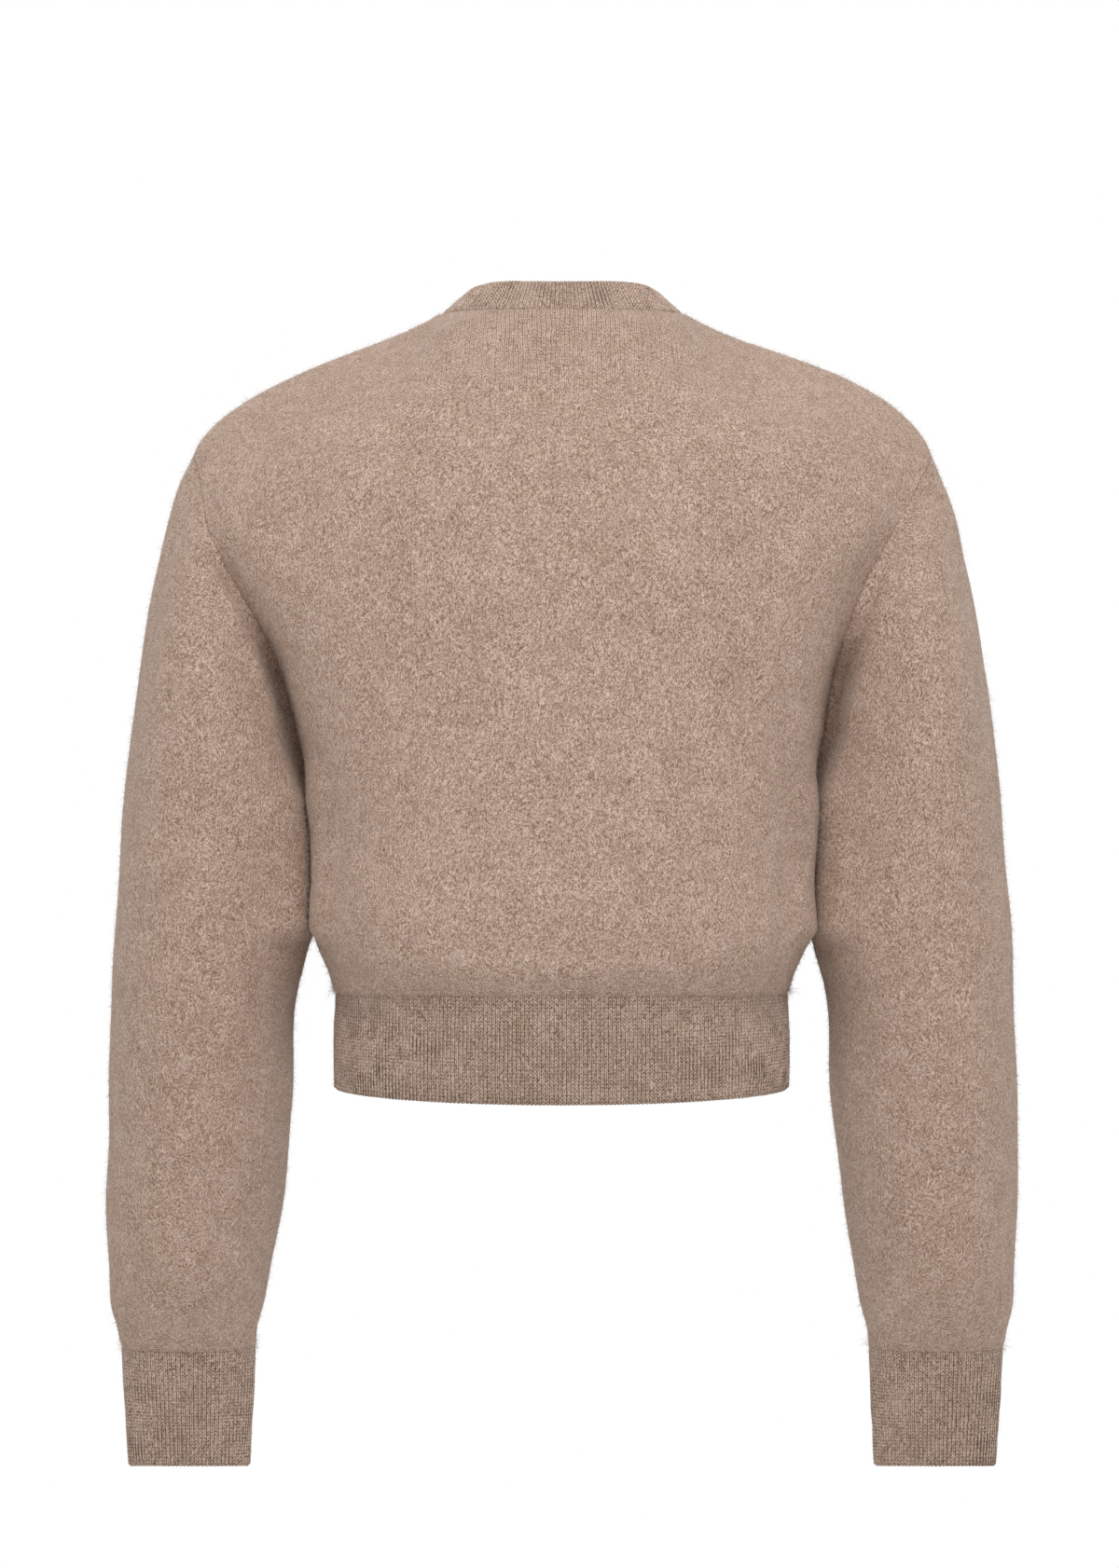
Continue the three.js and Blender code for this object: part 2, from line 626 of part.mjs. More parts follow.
/** Where a button lies: on the over band's middle line at height z, just clear of the band. */
function buttonPlace(z) {
  const lines = [-1, 0, 1].map((k) => overLine(k * BUTTON.radius));
  const middle = lines[1];
  const k = middle.findIndex((p, i) => i > 0 && p.z >= z) - 1;
  const at = middle[k].clone().lerp(middle[k + 1], (z - middle[k].z) / (middle[k + 1].z - middle[k].z));
  const along = middle[k + 1].clone().sub(middle[k]);
  const outward = vec(0, -along.z, along.y).normalize();
  const near = lines.flat().filter((p) => Math.abs(p.z - z) < 2 * BUTTON.radius);
  const highest = Math.max(0, ...near.map((p) => p.clone().sub(at).dot(outward)));
  const turn = new THREE.Quaternion().setFromUnitVectors(vec(0, 0, 1), outward);
  return { onBand: at.clone(), position: at.addScaledVector(outward, highest + SEAM), turn };
}

function solidOf(geometry) {
  const bare = new THREE.BufferGeometry();
  bare.setAttribute("position", geometry.getAttribute("position"));
  bare.setIndex(geometry.index);
  const merged = mergeVertices(bare);
  const triVerts = new Uint32Array(merged.index.array);
  const vertProperties = merged.getAttribute("position").array;
  return new wasm.Manifold(new wasm.Mesh({ numProp: 3, vertProperties, triVerts }));
}

/** The over band with a buttonhole along it behind each button. */
function overBandGeometry(places) {
  let band = solidOf(bandGeometry(OVER.sewnX, OVER.freeX, overLine));
  for (const { onBand, turn } of places) {
    const slit = new THREE.BoxGeometry(BUTTONHOLE.width, BUTTONHOLE.length, 4 * RIB);
    slit.applyQuaternion(turn).translate(onBand.x, onBand.y, onBand.z);
    band = band.subtract(solidOf(slit));
  }
  const { vertProperties, triVerts } = band.getMesh();
  const geometry = new THREE.BufferGeometry();
  geometry.setAttribute("position", new THREE.BufferAttribute(vertProperties, 3));
  geometry.setIndex(new THREE.BufferAttribute(triVerts, 1));
  geometry.computeVertexNormals();
  return geometry;
}

// ---- The cardigan -------------------------------------------------------------------------

const cardigan = new THREE.Group();

function piece(name, geometry, material) {
  const mesh = new THREE.Mesh(geometry, material);
  mesh.name = name;
  cardigan.add(mesh);
  return mesh;
}

piece("back", backGeometry(), KNIT);
piece("hem_back", hemGeometry("back"), RIBBING);
for (const hand of ["left", "right"]) {
  piece(`front_${hand}`, frontGeometry(hand), KNIT);
  piece(`hem_front_${hand}`, hemGeometry(hand), RIBBING);
  const sleeveBend = (normal, row, column) => (row === 0 ? mitred(normal, column) : normal);
  piece(`sleeve_${hand}`, tube(SLEEVE, JERSEY, hand, sleeveBend), KNIT);
  piece(`cuff_${hand}`, tube(cuffGrid(), RIB, hand), RIBBING);
}
piece("neckband", neckbandGeometry(), RIBBING);
const buttonPlaces = spaced(TOP_BUTTON_Z, LOW_BUTTON_Z, BUTTON.count - 1).map(buttonPlace);
piece("band_over", overBandGeometry(buttonPlaces), RIBBING);
piece("band_under", bandGeometry(UNDER.freeX, UNDER.sewnX, frontLine), RIBBING);

buttonPlaces.forEach(({ position, turn }, i) => {
  const button = piece(`button_${i + 1}`, buttonGeometry(), HORN);
  button.position.copy(position);
  button.quaternion.copy(turn);
});

export default cardigan;
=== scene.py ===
"""Looks of a cropped knitted cardigan, worn and hollow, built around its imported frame.

Each piece of the frame is replaced by a finer one of the same form. A cloth piece is a shell with its
ribs, folds and seams, and a fuzz of short fibres lies on it. Tables and sizes are in millimetres, as
the garment is cut. Meshes are made in metres on the frame's axes: +Z is up, the front faces -Y and
the wearer's left is +X.
"""
import math
from collections import namedtuple
from functools import cache

import bpy
import numpy as np
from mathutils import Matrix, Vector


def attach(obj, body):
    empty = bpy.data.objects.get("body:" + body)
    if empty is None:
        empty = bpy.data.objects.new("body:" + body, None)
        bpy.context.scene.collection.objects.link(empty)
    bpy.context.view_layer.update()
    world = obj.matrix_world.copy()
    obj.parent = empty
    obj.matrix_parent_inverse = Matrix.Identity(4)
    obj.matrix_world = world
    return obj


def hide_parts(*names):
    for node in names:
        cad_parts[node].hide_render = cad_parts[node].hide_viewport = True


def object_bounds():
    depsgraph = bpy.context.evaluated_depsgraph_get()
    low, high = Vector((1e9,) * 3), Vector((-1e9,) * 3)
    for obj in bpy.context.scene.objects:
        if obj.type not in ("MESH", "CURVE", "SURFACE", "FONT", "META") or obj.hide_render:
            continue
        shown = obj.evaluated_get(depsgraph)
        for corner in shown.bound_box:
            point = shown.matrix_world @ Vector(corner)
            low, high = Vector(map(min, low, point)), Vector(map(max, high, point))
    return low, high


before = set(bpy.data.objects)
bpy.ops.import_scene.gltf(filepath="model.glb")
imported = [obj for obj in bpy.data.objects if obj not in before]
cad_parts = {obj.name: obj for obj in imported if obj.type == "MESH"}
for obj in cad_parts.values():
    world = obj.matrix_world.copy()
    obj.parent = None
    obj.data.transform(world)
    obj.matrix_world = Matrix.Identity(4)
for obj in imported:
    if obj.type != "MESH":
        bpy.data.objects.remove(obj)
cad_low, cad_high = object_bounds()

MM = 0.001
SEED = 7
rng = np.random.default_rng(SEED)

# ---- The garment's form, in millimetres ----

JERSEY = 2.0  # wall of the plain knit
RIB = 2.6  # wall of the ribbing
SQUARENESS = 0.88  # power of sine and cosine in a body section: 1 is an ellipse, less is squarer

# Body sections from the hem rib up. mid_z and mid_y are on the centre line, edge_x, edge_y and
# edge_z on the side seam and then the armhole, and turn is how far it turns between, in degrees.
Section = namedtuple("Section", "mid_z edge_z edge_x mid_y edge_y turn")
SECTIONS = {
    "back": [
        Section(-386, -389, 133.2, 98, 0, 90),
        Section(-374, -376, 138.0, 106, 0, 90),
        Section(-350, -356, 145.9, 112, 0, 90),
        Section(-290, -290, 146.0, 110, 0, 90),
        Section(-222, -228, 151.0, 108, 33, 80),
        Section(-158, -170, 171.5, 106, 50, 68),
        Section(-100, -124, 194.5, 98, 45, 62),
        Section(-50, -92, 206.5, 84, 25, 56),
    ],
    "front": [
        Section(-386, -389, 133.2, -98, 0, 90),
        Section(-374, -376, 138.0, -105, 0, 90),
        Section(-350, -356, 145.9, -111, 0, 90),
        Section(-290, -290, 146.0, -112, 0, 90),
        Section(-228, -228, 150.0, -113, -34, 80),
        Section(-178, -170, 168.0, -108, -51, 68),
        Section(-138, -124, 191.0, -97, -46, 62),
        Section(-110, -92, 203.5, -84, -26, 56),
    ],
}
UNDERARM = 3  # the section where the side seam ends and the armhole begins
NECK_SHARE = 5 / 12  # share of a panel's half width that ends on the neck seam
GUIDE_SHARE = 0.6  # share of the half width where heights are measured along the cloth

# Neck rings: x is half_width sin a, y goes from the centre line to the side with cos a, and z with
# cos a to the power NECK_DROP. side, back and front are (y, z).
Ring = namedtuple("Ring", "half_width side back front")
NECK_DROP = 1.2
NECK_SEAM = Ring(70, (0, 4), (66, -1), (-68, -84))
NECK_TOP = Ring(57, (-2, 15), (57, 17), (-60, -64))
NECK_HEIGHT = 24
NECK_TOP_RISE = 2.2  # of the neckband's top edge, halfway from the side to the centre of the back
NECK_TOP_SINK = 2.0
SHOULDER = [(NECK_SEAM.half_width, NECK_SEAM.side[1]), (135, -20.5), (203, -48), (211.3, -75)]

# Where the cloth lies just below the top edge, from that edge, on the centre line, at the side
# neck point and at the shoulder tip.
RIDGE = {
    "back": ((0, 5, -14), (3, 22, -4), (0, 14, -5)),
    "front": ((0, -4, -9), (6, -15, -12), (0, -13, -7)),
}

SleeveRing = namedtuple("SleeveRing", "z in_x out_x half_depth mid_y")
SLEEVE_RINGS = [
    SleeveRing(-318, 147.4, 256.0, 62, 0),
    SleeveRing(-358, 148.0, 259.3, 61, -3),
    SleeveRing(-402, 155.0, 262.4, 59, -8),
    SleeveRing(-455, 157.4, 265.0, 57, -16),
    SleeveRing(-508, 163.2, 266.3, 54, -25),
    SleeveRing(-552, 170.6, 266.0, 48, -32),
    SleeveRing(-578, 175.4, 265.2, 40, -36),
    SleeveRing(-592, 178.4, 262.4, 33, -38),
    SleeveRing(-600, 180.3, 259.4, 27, -39),
]
LEAVE_TOP = (0.45, 0, -0.893)  # which way the sleeve leaves the armhole
LEAVE_SIDE = (0.8, 0.42, -0.42)
LEAVE_UNDER = (0.12, 0, -0.99)
HANG = (0.08, 0, -0.997)
CAP_PULL = 0.95  # how strongly it keeps that way, as a share of the distance to the first ring

CUFF_HEIGHT = 70
CUFF_END_RISE = 3.2  # at the middle of its back
CUFF_END = SleeveRing(-670, 184.3, 255.3, 22.5, -44)
HEM_HEIGHT = 62
HEM_END_X = 131.4
HEM_END_Y = 96
HEM_END_RISE = (1.5, 4.5)  # on the centre line, and HEM_RISE_X away from it
HEM_RISE_X = 131

OVER_SEWN_X = -14.5  # the over band is sewn to the wearer's right front
OVER_FREE_X = 14.5
UNDER_SEWN_X = 15
UNDER_FREE_X = -8
OVER_LIFT = 3.1  # of the over band off the front, beyond LIFT_WIDTH from its sewn edge
LIFT_WIDTH = 4.5
SCALLOP = 6.5  # length of the small waves along the middle of the neck seam
LAP = 0.9  # how far the plain knit laps over its neighbour at a seam
UNDERARM_Z = SECTIONS["back"][UNDERARM].edge_z
HEM_TOP_Z = SECTIONS["back"][0].mid_z
MEETING_X = 146.75  # where the sleeve hangs against the body, below the underarm
MEETING_BOW = 0.002  # how that place moves out with the square of Y
MEETING_GAP = 0.08  # of each of the two from there
APART_Z = -364  # where they part
BODY_END_X = 146.9  # below the underarm the body lies inside this, and the sleeves outside

BUTTON_COUNT = 6
HOLE_SPREAD = 1.8  # of the sewing holes, from the button's middle
BUTTONHOLE_REACH = 9.2  # from its middle to its end
BUTTONHOLE_WIDTH = 1.5  # from its middle to its side
THREAD_RADIUS = 0.4
THREAD_SIDES = 8
THREAD_POINTS = 13  # along one of a button's two threads
RIM_RADIUS = 0.62  # of the sewn rim of a buttonhole
RIM_STITCHES = 40
RIM_POINTS = 240

# ---- How it is worn ----

# The crease along the armhole at each height: how deep it is, and how far the cloth is drawn over
# its edges where it is shallow.
Crease = namedtuple("Crease", "z depth drawn")
CREASES = {
    "back": Crease(
        z=(-345, -320, -290, -265, -246, -228, -205, -195, -186, -174, -150, -122, -95, -76),
        depth=(0, 1, 2.5, 6, 10.5, 14, 15, 11.5, 7.2, 5.0, 3.8, 2.3, 0, 0),
        drawn=(0, 0, 0, 0, 0, 0, 0, 0, 0, 0.2, 0.5, 0.8, 0.6, 0.3),
    ),
    "front": Crease(
        z=(-345, -318, -286, -250, -216, -200, -182, -160, -125, -95, -76),
        depth=(0, 2, 5, 11, 13, 8, 4, 1.8, 1.0, 0, 0),
        drawn=(0, 0, 0, 0, 0, 0.4, 1.0, 2.0, 2.4, 1.5, 0.5),
    ),
}
CREASE_BODY_WIDTH = 3.8  # where it is deep, and the next where it is shallow
CREASE_SOFT_WIDTH = 10
CREASE_SLEEVE_WIDTH = 13
CREASE_SLEEVE_RISE = 9
DRAWN_WIDTH = 7

# Left is the wearer's left. WANDER is how far the creases wander from the pattern towards it at
# each height, and SUNK how far the shoulder lines have sunk at each distance from the middle.
Uneven = namedtuple("Uneven", "at left right")
WANDER = Uneven(
    at=(-384, -366, -350, -325, -300, -265, -240, -214, -192, -170, -150, -125, -106, -88),
    left=(0, -1.0, -4.0, -6.0, -3.5, 0.8, 3.8, 4.5, 3.0, 5.0, 7.5, 6.5, 3.0, 0),
    right=(1.0, 3.0, 3.8, 3.8, 2.5, 1.0, -1.5, 1.0, 4.0, 6.5, 8.0, 6.5, 3.0, 0),
)
WANDER_INSIDE = 26  # how far from the armhole the body takes part, and the next the sleeve
WANDER_OUTSIDE = 12
SUNK = Uneven(
    at=(55, 66, 77, 90, 106, 122, 142, 162, 185, 205, 230),
    left=(0, 0.9, 3.0, 4.4, 4.4, 3.6, 2.5, 1.8, 1.0, 0.8, 0),
    right=(0, 0.9, 3.2, 4.6, 4.2, 2.3, 0.2, -1.6, -2.2, -1.2, 0),
)

# Shallow hollows over the wearer's shoulder blades.
Dimple = namedtuple("Dimple", "x z depth width")
DIMPLES = [
    Dimple(139, -117, 1.3, 11),
    Dimple(128, -131, 0.8, 9),
    Dimple(-126, -117, 1.3, 11),
    Dimple(-116, -132, 0.8, 9),
]
WAVE_HEIGHT = 0.5
WAVE_LENGTHS = (45, 120)
SLEEVE_WAVE_HEIGHT = 0.6
SLEEVE_WAVE_LENGTHS = (60, 150)
HEM_GATHERS = (0.7, 34)  # the height of the folds and how far they reach
CUFF_GATHERS = (0.9, 26)
SHOULDER_FILL = 0.5  # of the cloth beside the top of the armhole
BLOUSING = 1.2  # how far the body stands out over the hem
HEM_GRIP = 0.017  # share of its half width by which the body is drawn in above the hem
HEM_ROLL = 1.6  # how far it stands out in Y at the hem's seam
HEM_HOLLOW = 1.7  # and how far the hem lies in below that
CUFF_GRIP = 1.9  # how far the sleeve is drawn in above the cuff
ARM_FLAT = 2.8  # how far the outer arm lies inside its pattern
SEAM_WALL = 0.2  # share of the plain knit's thickness that is left at a seam
SEAM_WALL_WIDTH = 6

# ---- How finely it is made ----

GRID_STEP = 2.1  # between grid lines of the plain knit
SEAM_STEPS = (0.5, 0.7, 0.9, 1.2, 1.6)  # between the first grid lines beside a seam
RIB_COLUMNS = 6  # grid columns in one rib
SLEEVE_COLUMNS = 168
BAND_COLUMNS = 214  # from the hem's edge to the neckband's top
CAP_ROWS = 84  # grid rows of a sleeve above its first ring, or one or two more
INNER_STEP = 3  # the inside is made from every third line

FUZZ_DENSITY = 0.3  # loose fibres on a square millimetre
FIBRE_WIDTH = 0.15
JERSEY_FIBRE = (1.4, 3.8)  # its shortest and longest
RIB_FIBRE = (0.8, 2.4)
BAND_FIBRE = (0.8, 2.2)

WALE = 2.6  # width of one column of stitches
COURSE = 2.0  # height of one row of stitches
HEM_RIB = 2.35  # width of one rib and its gap
NECK_RIB = 2.25
BAND_RIB = 2.3
CUFF_RIBS = 80  # ribs all round a cuff
RIB_HEIGHT = 1.7
NECK_RIB_HEIGHT = 1.6
BAND_RIB_HEIGHT = 1.1
RIB_WAVER = (0.09, (9, 40), 14)  # height, shortest and longest wave, and how many waves
RIB_MATTING = (0.17, (12, 45), 14)

# ---- Cloth and set ----

# Each piece's cut before it was sewn, in metres, how the worn garment holds it, and what it is
# made of. An area is given where the cut is less than its width times its height.
Cut = namedtuple("Cut", "width height area held knit fibre")
CUTS = {
    "back": Cut(0.46, 0.41, 0.165, "hung", "jersey_knit", JERSEY_FIBRE),
    "front": Cut(0.22, 0.36, 0.07, "hung", "jersey_knit", JERSEY_FIBRE),
    "sleeve": Cut(0.40, 0.52, 0.15, "hung", "sleeve_knit", JERSEY_FIBRE),
    "cuff": Cut(0.20, 0.07, None, "stretched", "rib_knit", RIB_FIBRE),
    "hem_back": Cut(0.38, 0.062, None, "stretched", "rib_knit", RIB_FIBRE),
    "hem_front": Cut(0.17, 0.062, None, "stretched", "rib_knit", RIB_FIBRE),
    "neckband": Cut(0.43, 0.025, None, "stretched", "neck_knit_painted_light", RIB_FIBRE),
    "band_over": Cut(0.029, 0.42, None, "hung", "rib_knit", BAND_FIBRE),
    "band_under": Cut(0.023, 0.42, None, "hung", "rib_knit", BAND_FIBRE),
}

# Base colours of each knit, from its darkest fibres and the painted shade in its stitch gaps to its palest
# fibres.
Knit = namedtuple("Knit", "dark middle light ribbed")
KNIT_COLOURS = {
    "jersey_knit": Knit((0.20, 0.128, 0.092), (0.425, 0.302, 0.238), (0.70, 0.545, 0.46), False),
    # The sleeves' knit is the plain knit made darker: painted shade, standing in for the less light that
    # falls on them.
    "sleeve_knit": Knit((0.193, 0.122, 0.088), (0.41, 0.29, 0.227), (0.675, 0.523, 0.44), False),
    "rib_knit": Knit((0.105, 0.064, 0.046), (0.355, 0.25, 0.192), (0.66, 0.505, 0.42), True),
    # The neckband's knit is the rib knit made lighter: painted light, making up for the shade where it
    # faces up and back.
    "neck_knit_painted_light": Knit((0.12, 0.075, 0.054), (0.40, 0.286, 0.222), (0.72, 0.56, 0.47), True),
}

# In metres.
CAMERA_DISTANCE = 2.4
VIEW_HEIGHT = 0.9083  # height of what the camera sees in the plane y = 0
CAMERA_X = 0.0016
CAMERA_Z = -0.269
FLOOR_Z = -2.2
FLOOR_RADIUS = 6.4
FLOOR_CORNERS = 96
AMBIENT = 0.72  # strength of the light from all round



# ---- Small mathematics ----

def mix(a, b, t):
    return a + (b - a) * t


def smooth(t):
    """A soft step from 0 to 1, as t goes from 0 to 1."""
    t = np.clip(t, 0, 1)
    return t * t * (3 - 2 * t)


def unit(v):
    return v / np.maximum(np.linalg.norm(v, axis=-1, keepdims=True), 1e-9)


def bell(offset, width):
    """1 where offset is 0, about a third at the width, and nearly 0 beyond twice that."""
    return np.exp(-((offset / width) ** 2))


def hermite(start, leave, end, arrive, s):
    """A cubic curve from start to end, with its slopes at both."""
    s2, s3 = s * s, s * s * s
    near_start = start * (2 * s3 - 3 * s2 + 1) + leave * (s3 - 2 * s2 + s)
    return near_start + end * (3 * s2 - 2 * s3) + arrive * (s3 - s2)


def curve_through(stops, points, at):
    """Smooth curves through rows of points, one row at each stop, read at each distance in at."""
    stops = np.asarray(stops, float)
    shape = (-1,) + (1,) * (points.ndim - 1)
    slopes = np.empty_like(points)
    slopes[1:-1] = (points[2:] - points[:-2]) / (stops[2:] - stops[:-2]).reshape(shape)
    slopes[0] = (points[1] - points[0]) / (stops[1] - stops[0])
    slopes[-1] = (points[-1] - points[-2]) / (stops[-1] - stops[-2])
    k = np.clip(np.searchsorted(stops, at, side="left") - 1, 0, len(stops) - 2)
    span = (stops[k + 1] - stops[k]).reshape(shape)
    s = (at - stops[k]).reshape(shape) / span
    return hermite(points[k], slopes[k] * span, points[k + 1], slopes[k + 1] * span, s)


def run_length(points, axis=0):
    """Distance along a grid's lines from their first point."""
    steps = np.linalg.norm(np.diff(points, axis=axis), axis=-1)
    start = np.zeros_like(np.take(steps, [0], axis=axis))
    return np.concatenate([start, np.cumsum(steps, axis=axis)], axis=axis)


def read_line(line, length, at):
    """Points of a line at distances along it, from the distances of its own points."""
    return np.stack([np.interp(at, length, line[:, k]) for k in range(3)], -1)


def lines_between(length, step, seams=(True, True), multiple=INNER_STEP):
    """Distances from 0 to length, close together beside a seam and about a step apart elsewhere.
    Their number is a multiple, plus one."""
    start = np.cumsum((0,) + SEAM_STEPS) if seams[0] else np.zeros(1)
    end = length - np.cumsum((0,) + SEAM_STEPS)[::-1] if seams[1] else np.full(1, float(length))
    fixed = len(start) + len(end) - 2
    count = max(1, round((end[0] - start[-1]) / step))
    while (fixed + count) % multiple:
        count += 1
    middle = np.linspace(start[-1], end[0], count + 1)[1:-1]
    return np.concatenate([start, middle, end])


def normals_of(grid, wraps=False):
    """Outward unit vectors of a grid whose columns run right and rows up, seen from outside."""
    if wraps:
        across = np.roll(grid, -1, axis=1) - np.roll(grid, 1, axis=1)
    else:
        across = np.gradient(grid, axis=1)
    return unit(np.cross(across, np.gradient(grid, axis=0)))


def waves(shape_x, shape_y, amplitude, lengths, count=10):
    """A gentle unevenness: the sum of a few plane waves in random directions."""
    total = np.zeros(np.broadcast(shape_x, shape_y).shape)
    for _ in range(count):
        direction, phase = rng.uniform(0, 2 * math.pi, 2)
        length = rng.uniform(*lengths)
        along = np.cos(direction) * shape_x + np.sin(direction) * shape_y
        total += np.cos(2 * math.pi * along / length + phase)
    return amplitude * total / math.sqrt(count / 2)


def gathers(along, off, height, fade):
    """Small uneven folds that run off a gathered seam: along is measured on the seam, off from it."""
    total = np.zeros_like(along)
    place = rng.uniform(0, 6)
    while place < along.max():
        width = rng.uniform(2.6, 5.0)
        reach = fade * rng.uniform(0.6, 1.4)
        slant = rng.uniform(-0.25, 0.25)
        tall = height * rng.uniform(0.4, 1.2)
        fold = tall * bell(along - place - slant * off, width)
        total += fold * smooth(1 - off / reach) * smooth(off / 3 + 0.3)
        place += width * rng.uniform(1.8, 3.2)
    return total


# ---- Body form ----

def section_points(section, share, start_x):
    """A section's points from the line x = start_x at share 0 to its edge at share 1."""
    turn = math.radians(section.turn)
    start = math.asin(math.sin(turn) * (start_x / section.edge_x) ** (1 / SQUARENESS))
    angle = mix(start, turn, share)
    across = (np.sin(angle) / math.sin(turn)) ** SQUARENESS
    edge_cos = max(math.cos(turn), 0) ** SQUARENESS
    depth = (np.maximum(np.cos(angle), 0) ** SQUARENESS - edge_cos) / (1 - edge_cos)
    y = mix(section.edge_y, section.mid_y, depth)
    z = mix(section.mid_z, section.edge_z, across**2)
    return np.stack([section.edge_x * across, y, z], -1)


def neck_points(ring, side, angle):
    """A neck ring's points on the back or front, with angle 0 on the centre line."""
    c = np.maximum(np.cos(angle), 0)
    end = getattr(ring, side)
    y = mix(ring.side[0], end[0], c)
    z = mix(ring.side[1], end[1], c**NECK_DROP)
    return np.stack([ring.half_width * np.sin(angle), y, z], -1)


def neck_angle(ring, x):
    return math.asin(x / ring.half_width)


def shoulder_points(t):
    """The shoulder seam, from the neck at t = 0 to the shoulder tip at 1."""
    weights = [(1 - t) ** 3, 3 * t * (1 - t) ** 2, 3 * t**2 * (1 - t), t**3]
    x, z = (sum(w * p[k] for w, p in zip(weights, SHOULDER)) for k in (0, 1))
    return np.stack([x, np.zeros_like(x), z], -1)


def top_points(side, share, start_x):
    """The neck and shoulder seam at shares of the half width."""
    angle = mix(neck_angle(NECK_SEAM, start_x), math.pi / 2, np.minimum(share / NECK_SHARE, 1))
    on_neck = neck_points(NECK_SEAM, side, angle)
    on_shoulder = shoulder_points(np.clip((share - NECK_SHARE) / (1 - NECK_SHARE), 0, 1))
    return np.where((share > NECK_SHARE)[:, None], on_shoulder, on_neck)


def ridge_offsets(side, share):
    """From the top edge to the cloth just below it, at shares of the half width."""
    known = (0, NECK_SHARE, 1)
    return np.stack([np.interp(share, known, [p[k] for p in RIDGE[side]]) for k in range(3)], -1)


def panel_lines(side, share, start_x):
    """A panel's lines from side to side: its sections, the ridge and the top seam."""
    top = top_points(side, share, start_x)
    lines = [section_points(s, share, start_x) for s in SECTIONS[side]]
    return np.stack(lines + [top + ridge_offsets(side, share), top])


# Heights of the panel lines along the cloth.
STOPS = {side: run_length(panel_lines(side, np.array([GUIDE_SHARE]), 0))[:, 0] for side in SECTIONS}


def panel_points(side, share, height, start_x):
    """Half a body panel: rows at heights along the cloth, columns at shares of the half width."""
    grid = curve_through(STOPS[side], panel_lines(side, share, start_x), height)
    on_side_seam = height <= STOPS[side][UNDERARM]
    grid[on_side_seam, :, 1] -= grid[on_side_seam, -1:, 1] * share**6
    return grid


def mirrored(grid):
    """The same grid on the other hand, its columns still running right seen from outside."""
    return grid[:, ::-1] * (-1, 1, 1)


# ---- Sleeve form ----

def armhole_points(angle):
    """The armhole: angle 0 is the shoulder tip, pi the underarm, and the back lies between."""
    def edge(side):
        height = np.linspace(STOPS[side][-1], STOPS[side][UNDERARM], 400)
        return panel_points(side, np.array([1.0]), height, 0)[:, 0]

    back, front = edge("back"), edge("front")[::-1]
    found = np.empty(angle.shape + (3,))
    for line, low in ((back, 0), (front, math.pi)):
        part = (angle >= low) & (angle <= low + math.pi)
        length = run_length(line)
        at = (angle[part] - low) / math.pi * length[-1]
        found[part] = read_line(line, length, at)
    return found


def sleeve_ring(ring, angle):
    """One ring, from a table row whose fields may be arrays of the same length as a column."""
    mid_x = (ring.in_x + ring.out_x) / 2
    half_width = (ring.out_x - ring.in_x) / 2
    x = mid_x + half_width * np.cos(angle)
    y = ring.mid_y + ring.half_depth * np.sin(angle)
    return np.stack([x, y, ring.z + 0 * x], -1)


def sleeve_points(angle, cap_rows, ring_z):
    """The left sleeve from the armhole down: cap_rows steps of cap, then rings at heights ring_z."""
    c, s = np.cos(angle)[:, None], np.sin(angle)[:, None]
    side = np.array(LEAVE_SIDE) * np.concatenate([0 * s + 1, np.sign(s), 0 * s + 1], 1)
    top = np.array(LEAVE_TOP) * np.maximum(c, 0) ** 2
    under = np.array(LEAVE_UNDER) * np.maximum(-c, 0) ** 2
    leave = unit(top + under + side * s**2)
    start = armhole_points(angle)
    first = sleeve_ring(SLEEVE_RINGS[0], angle)
    reach = np.linalg.norm(first - start, axis=1, keepdims=True) * CAP_PULL
    hang = np.array(HANG) * reach
    steps = lines_between(1.0, 1 / cap_rows, (False, False), 1)
    cap = np.stack([hermite(start, leave * reach, first, hang, t) for t in steps[:-1]])
    table = np.array(SLEEVE_RINGS, float)
    at = curve_through(-table[:, 0], table, -ring_z)
    rings = sleeve_ring(SleeveRing(*(at[:, k, None] for k in range(5))), angle[None, :])
    return np.concatenate([cap, rings])


# ---- Meshes ----

def put(name, data):
    """An object of the scene, from its mesh, lamp or camera."""
    made = bpy.data.objects.new(name, data)
    bpy.context.scene.collection.objects.link(made)
    return made


def make_object(name, points, faces, material, uv=None, uv_period=None):
    """An object riding on the body, from points in millimetres and arrays of faces. uv_period is
    how far uv runs in one turn of a tube."""
    mesh = bpy.data.meshes.new(name)
    faces = [face for array in faces for face in array.tolist()]
    mesh.from_pydata((np.asarray(points) * MM).tolist(), [], faces)
    mesh.polygons.foreach_set("use_smooth", np.ones(len(mesh.polygons), bool))
    if uv is not None:
        corner = np.empty(len(mesh.loops), np.int32)
        mesh.loops.foreach_get("vertex_index", corner)
        spread = np.asarray(uv)[corner]
        if uv_period:
            first = np.empty(len(mesh.polygons), np.int32)
            mesh.polygons.foreach_get("loop_start", first)
            corners = np.diff(np.append(first, len(corner)))
            highest = np.repeat(np.maximum.reduceat(spread[:, 0], first), corners)
            spread[spread[:, 0] < highest - uv_period / 2, 0] += uv_period
        mesh.uv_layers.new(name="weave").data.foreach_set("uv", spread.astype(np.float32).ravel())
    mesh.materials.append(material)
    mesh.update()
    made = put(name, mesh)
    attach(made, "root")
    return made


def zipped(fine, coarse, step, flip):
    """Triangles between a line of points and another with one point for each step of the first."""
    i = np.arange(len(fine) - 1)
    j = np.arange(len(coarse) - 1)
    first = np.stack([fine[i], coarse[i // step], fine[i + 1]], 1)
    second = np.stack([fine[(j + 1) * step], coarse[j], coarse[j + 1]], 1)
    faces = np.concatenate([first, second])
    return faces[:, ::-1] if flip else faces


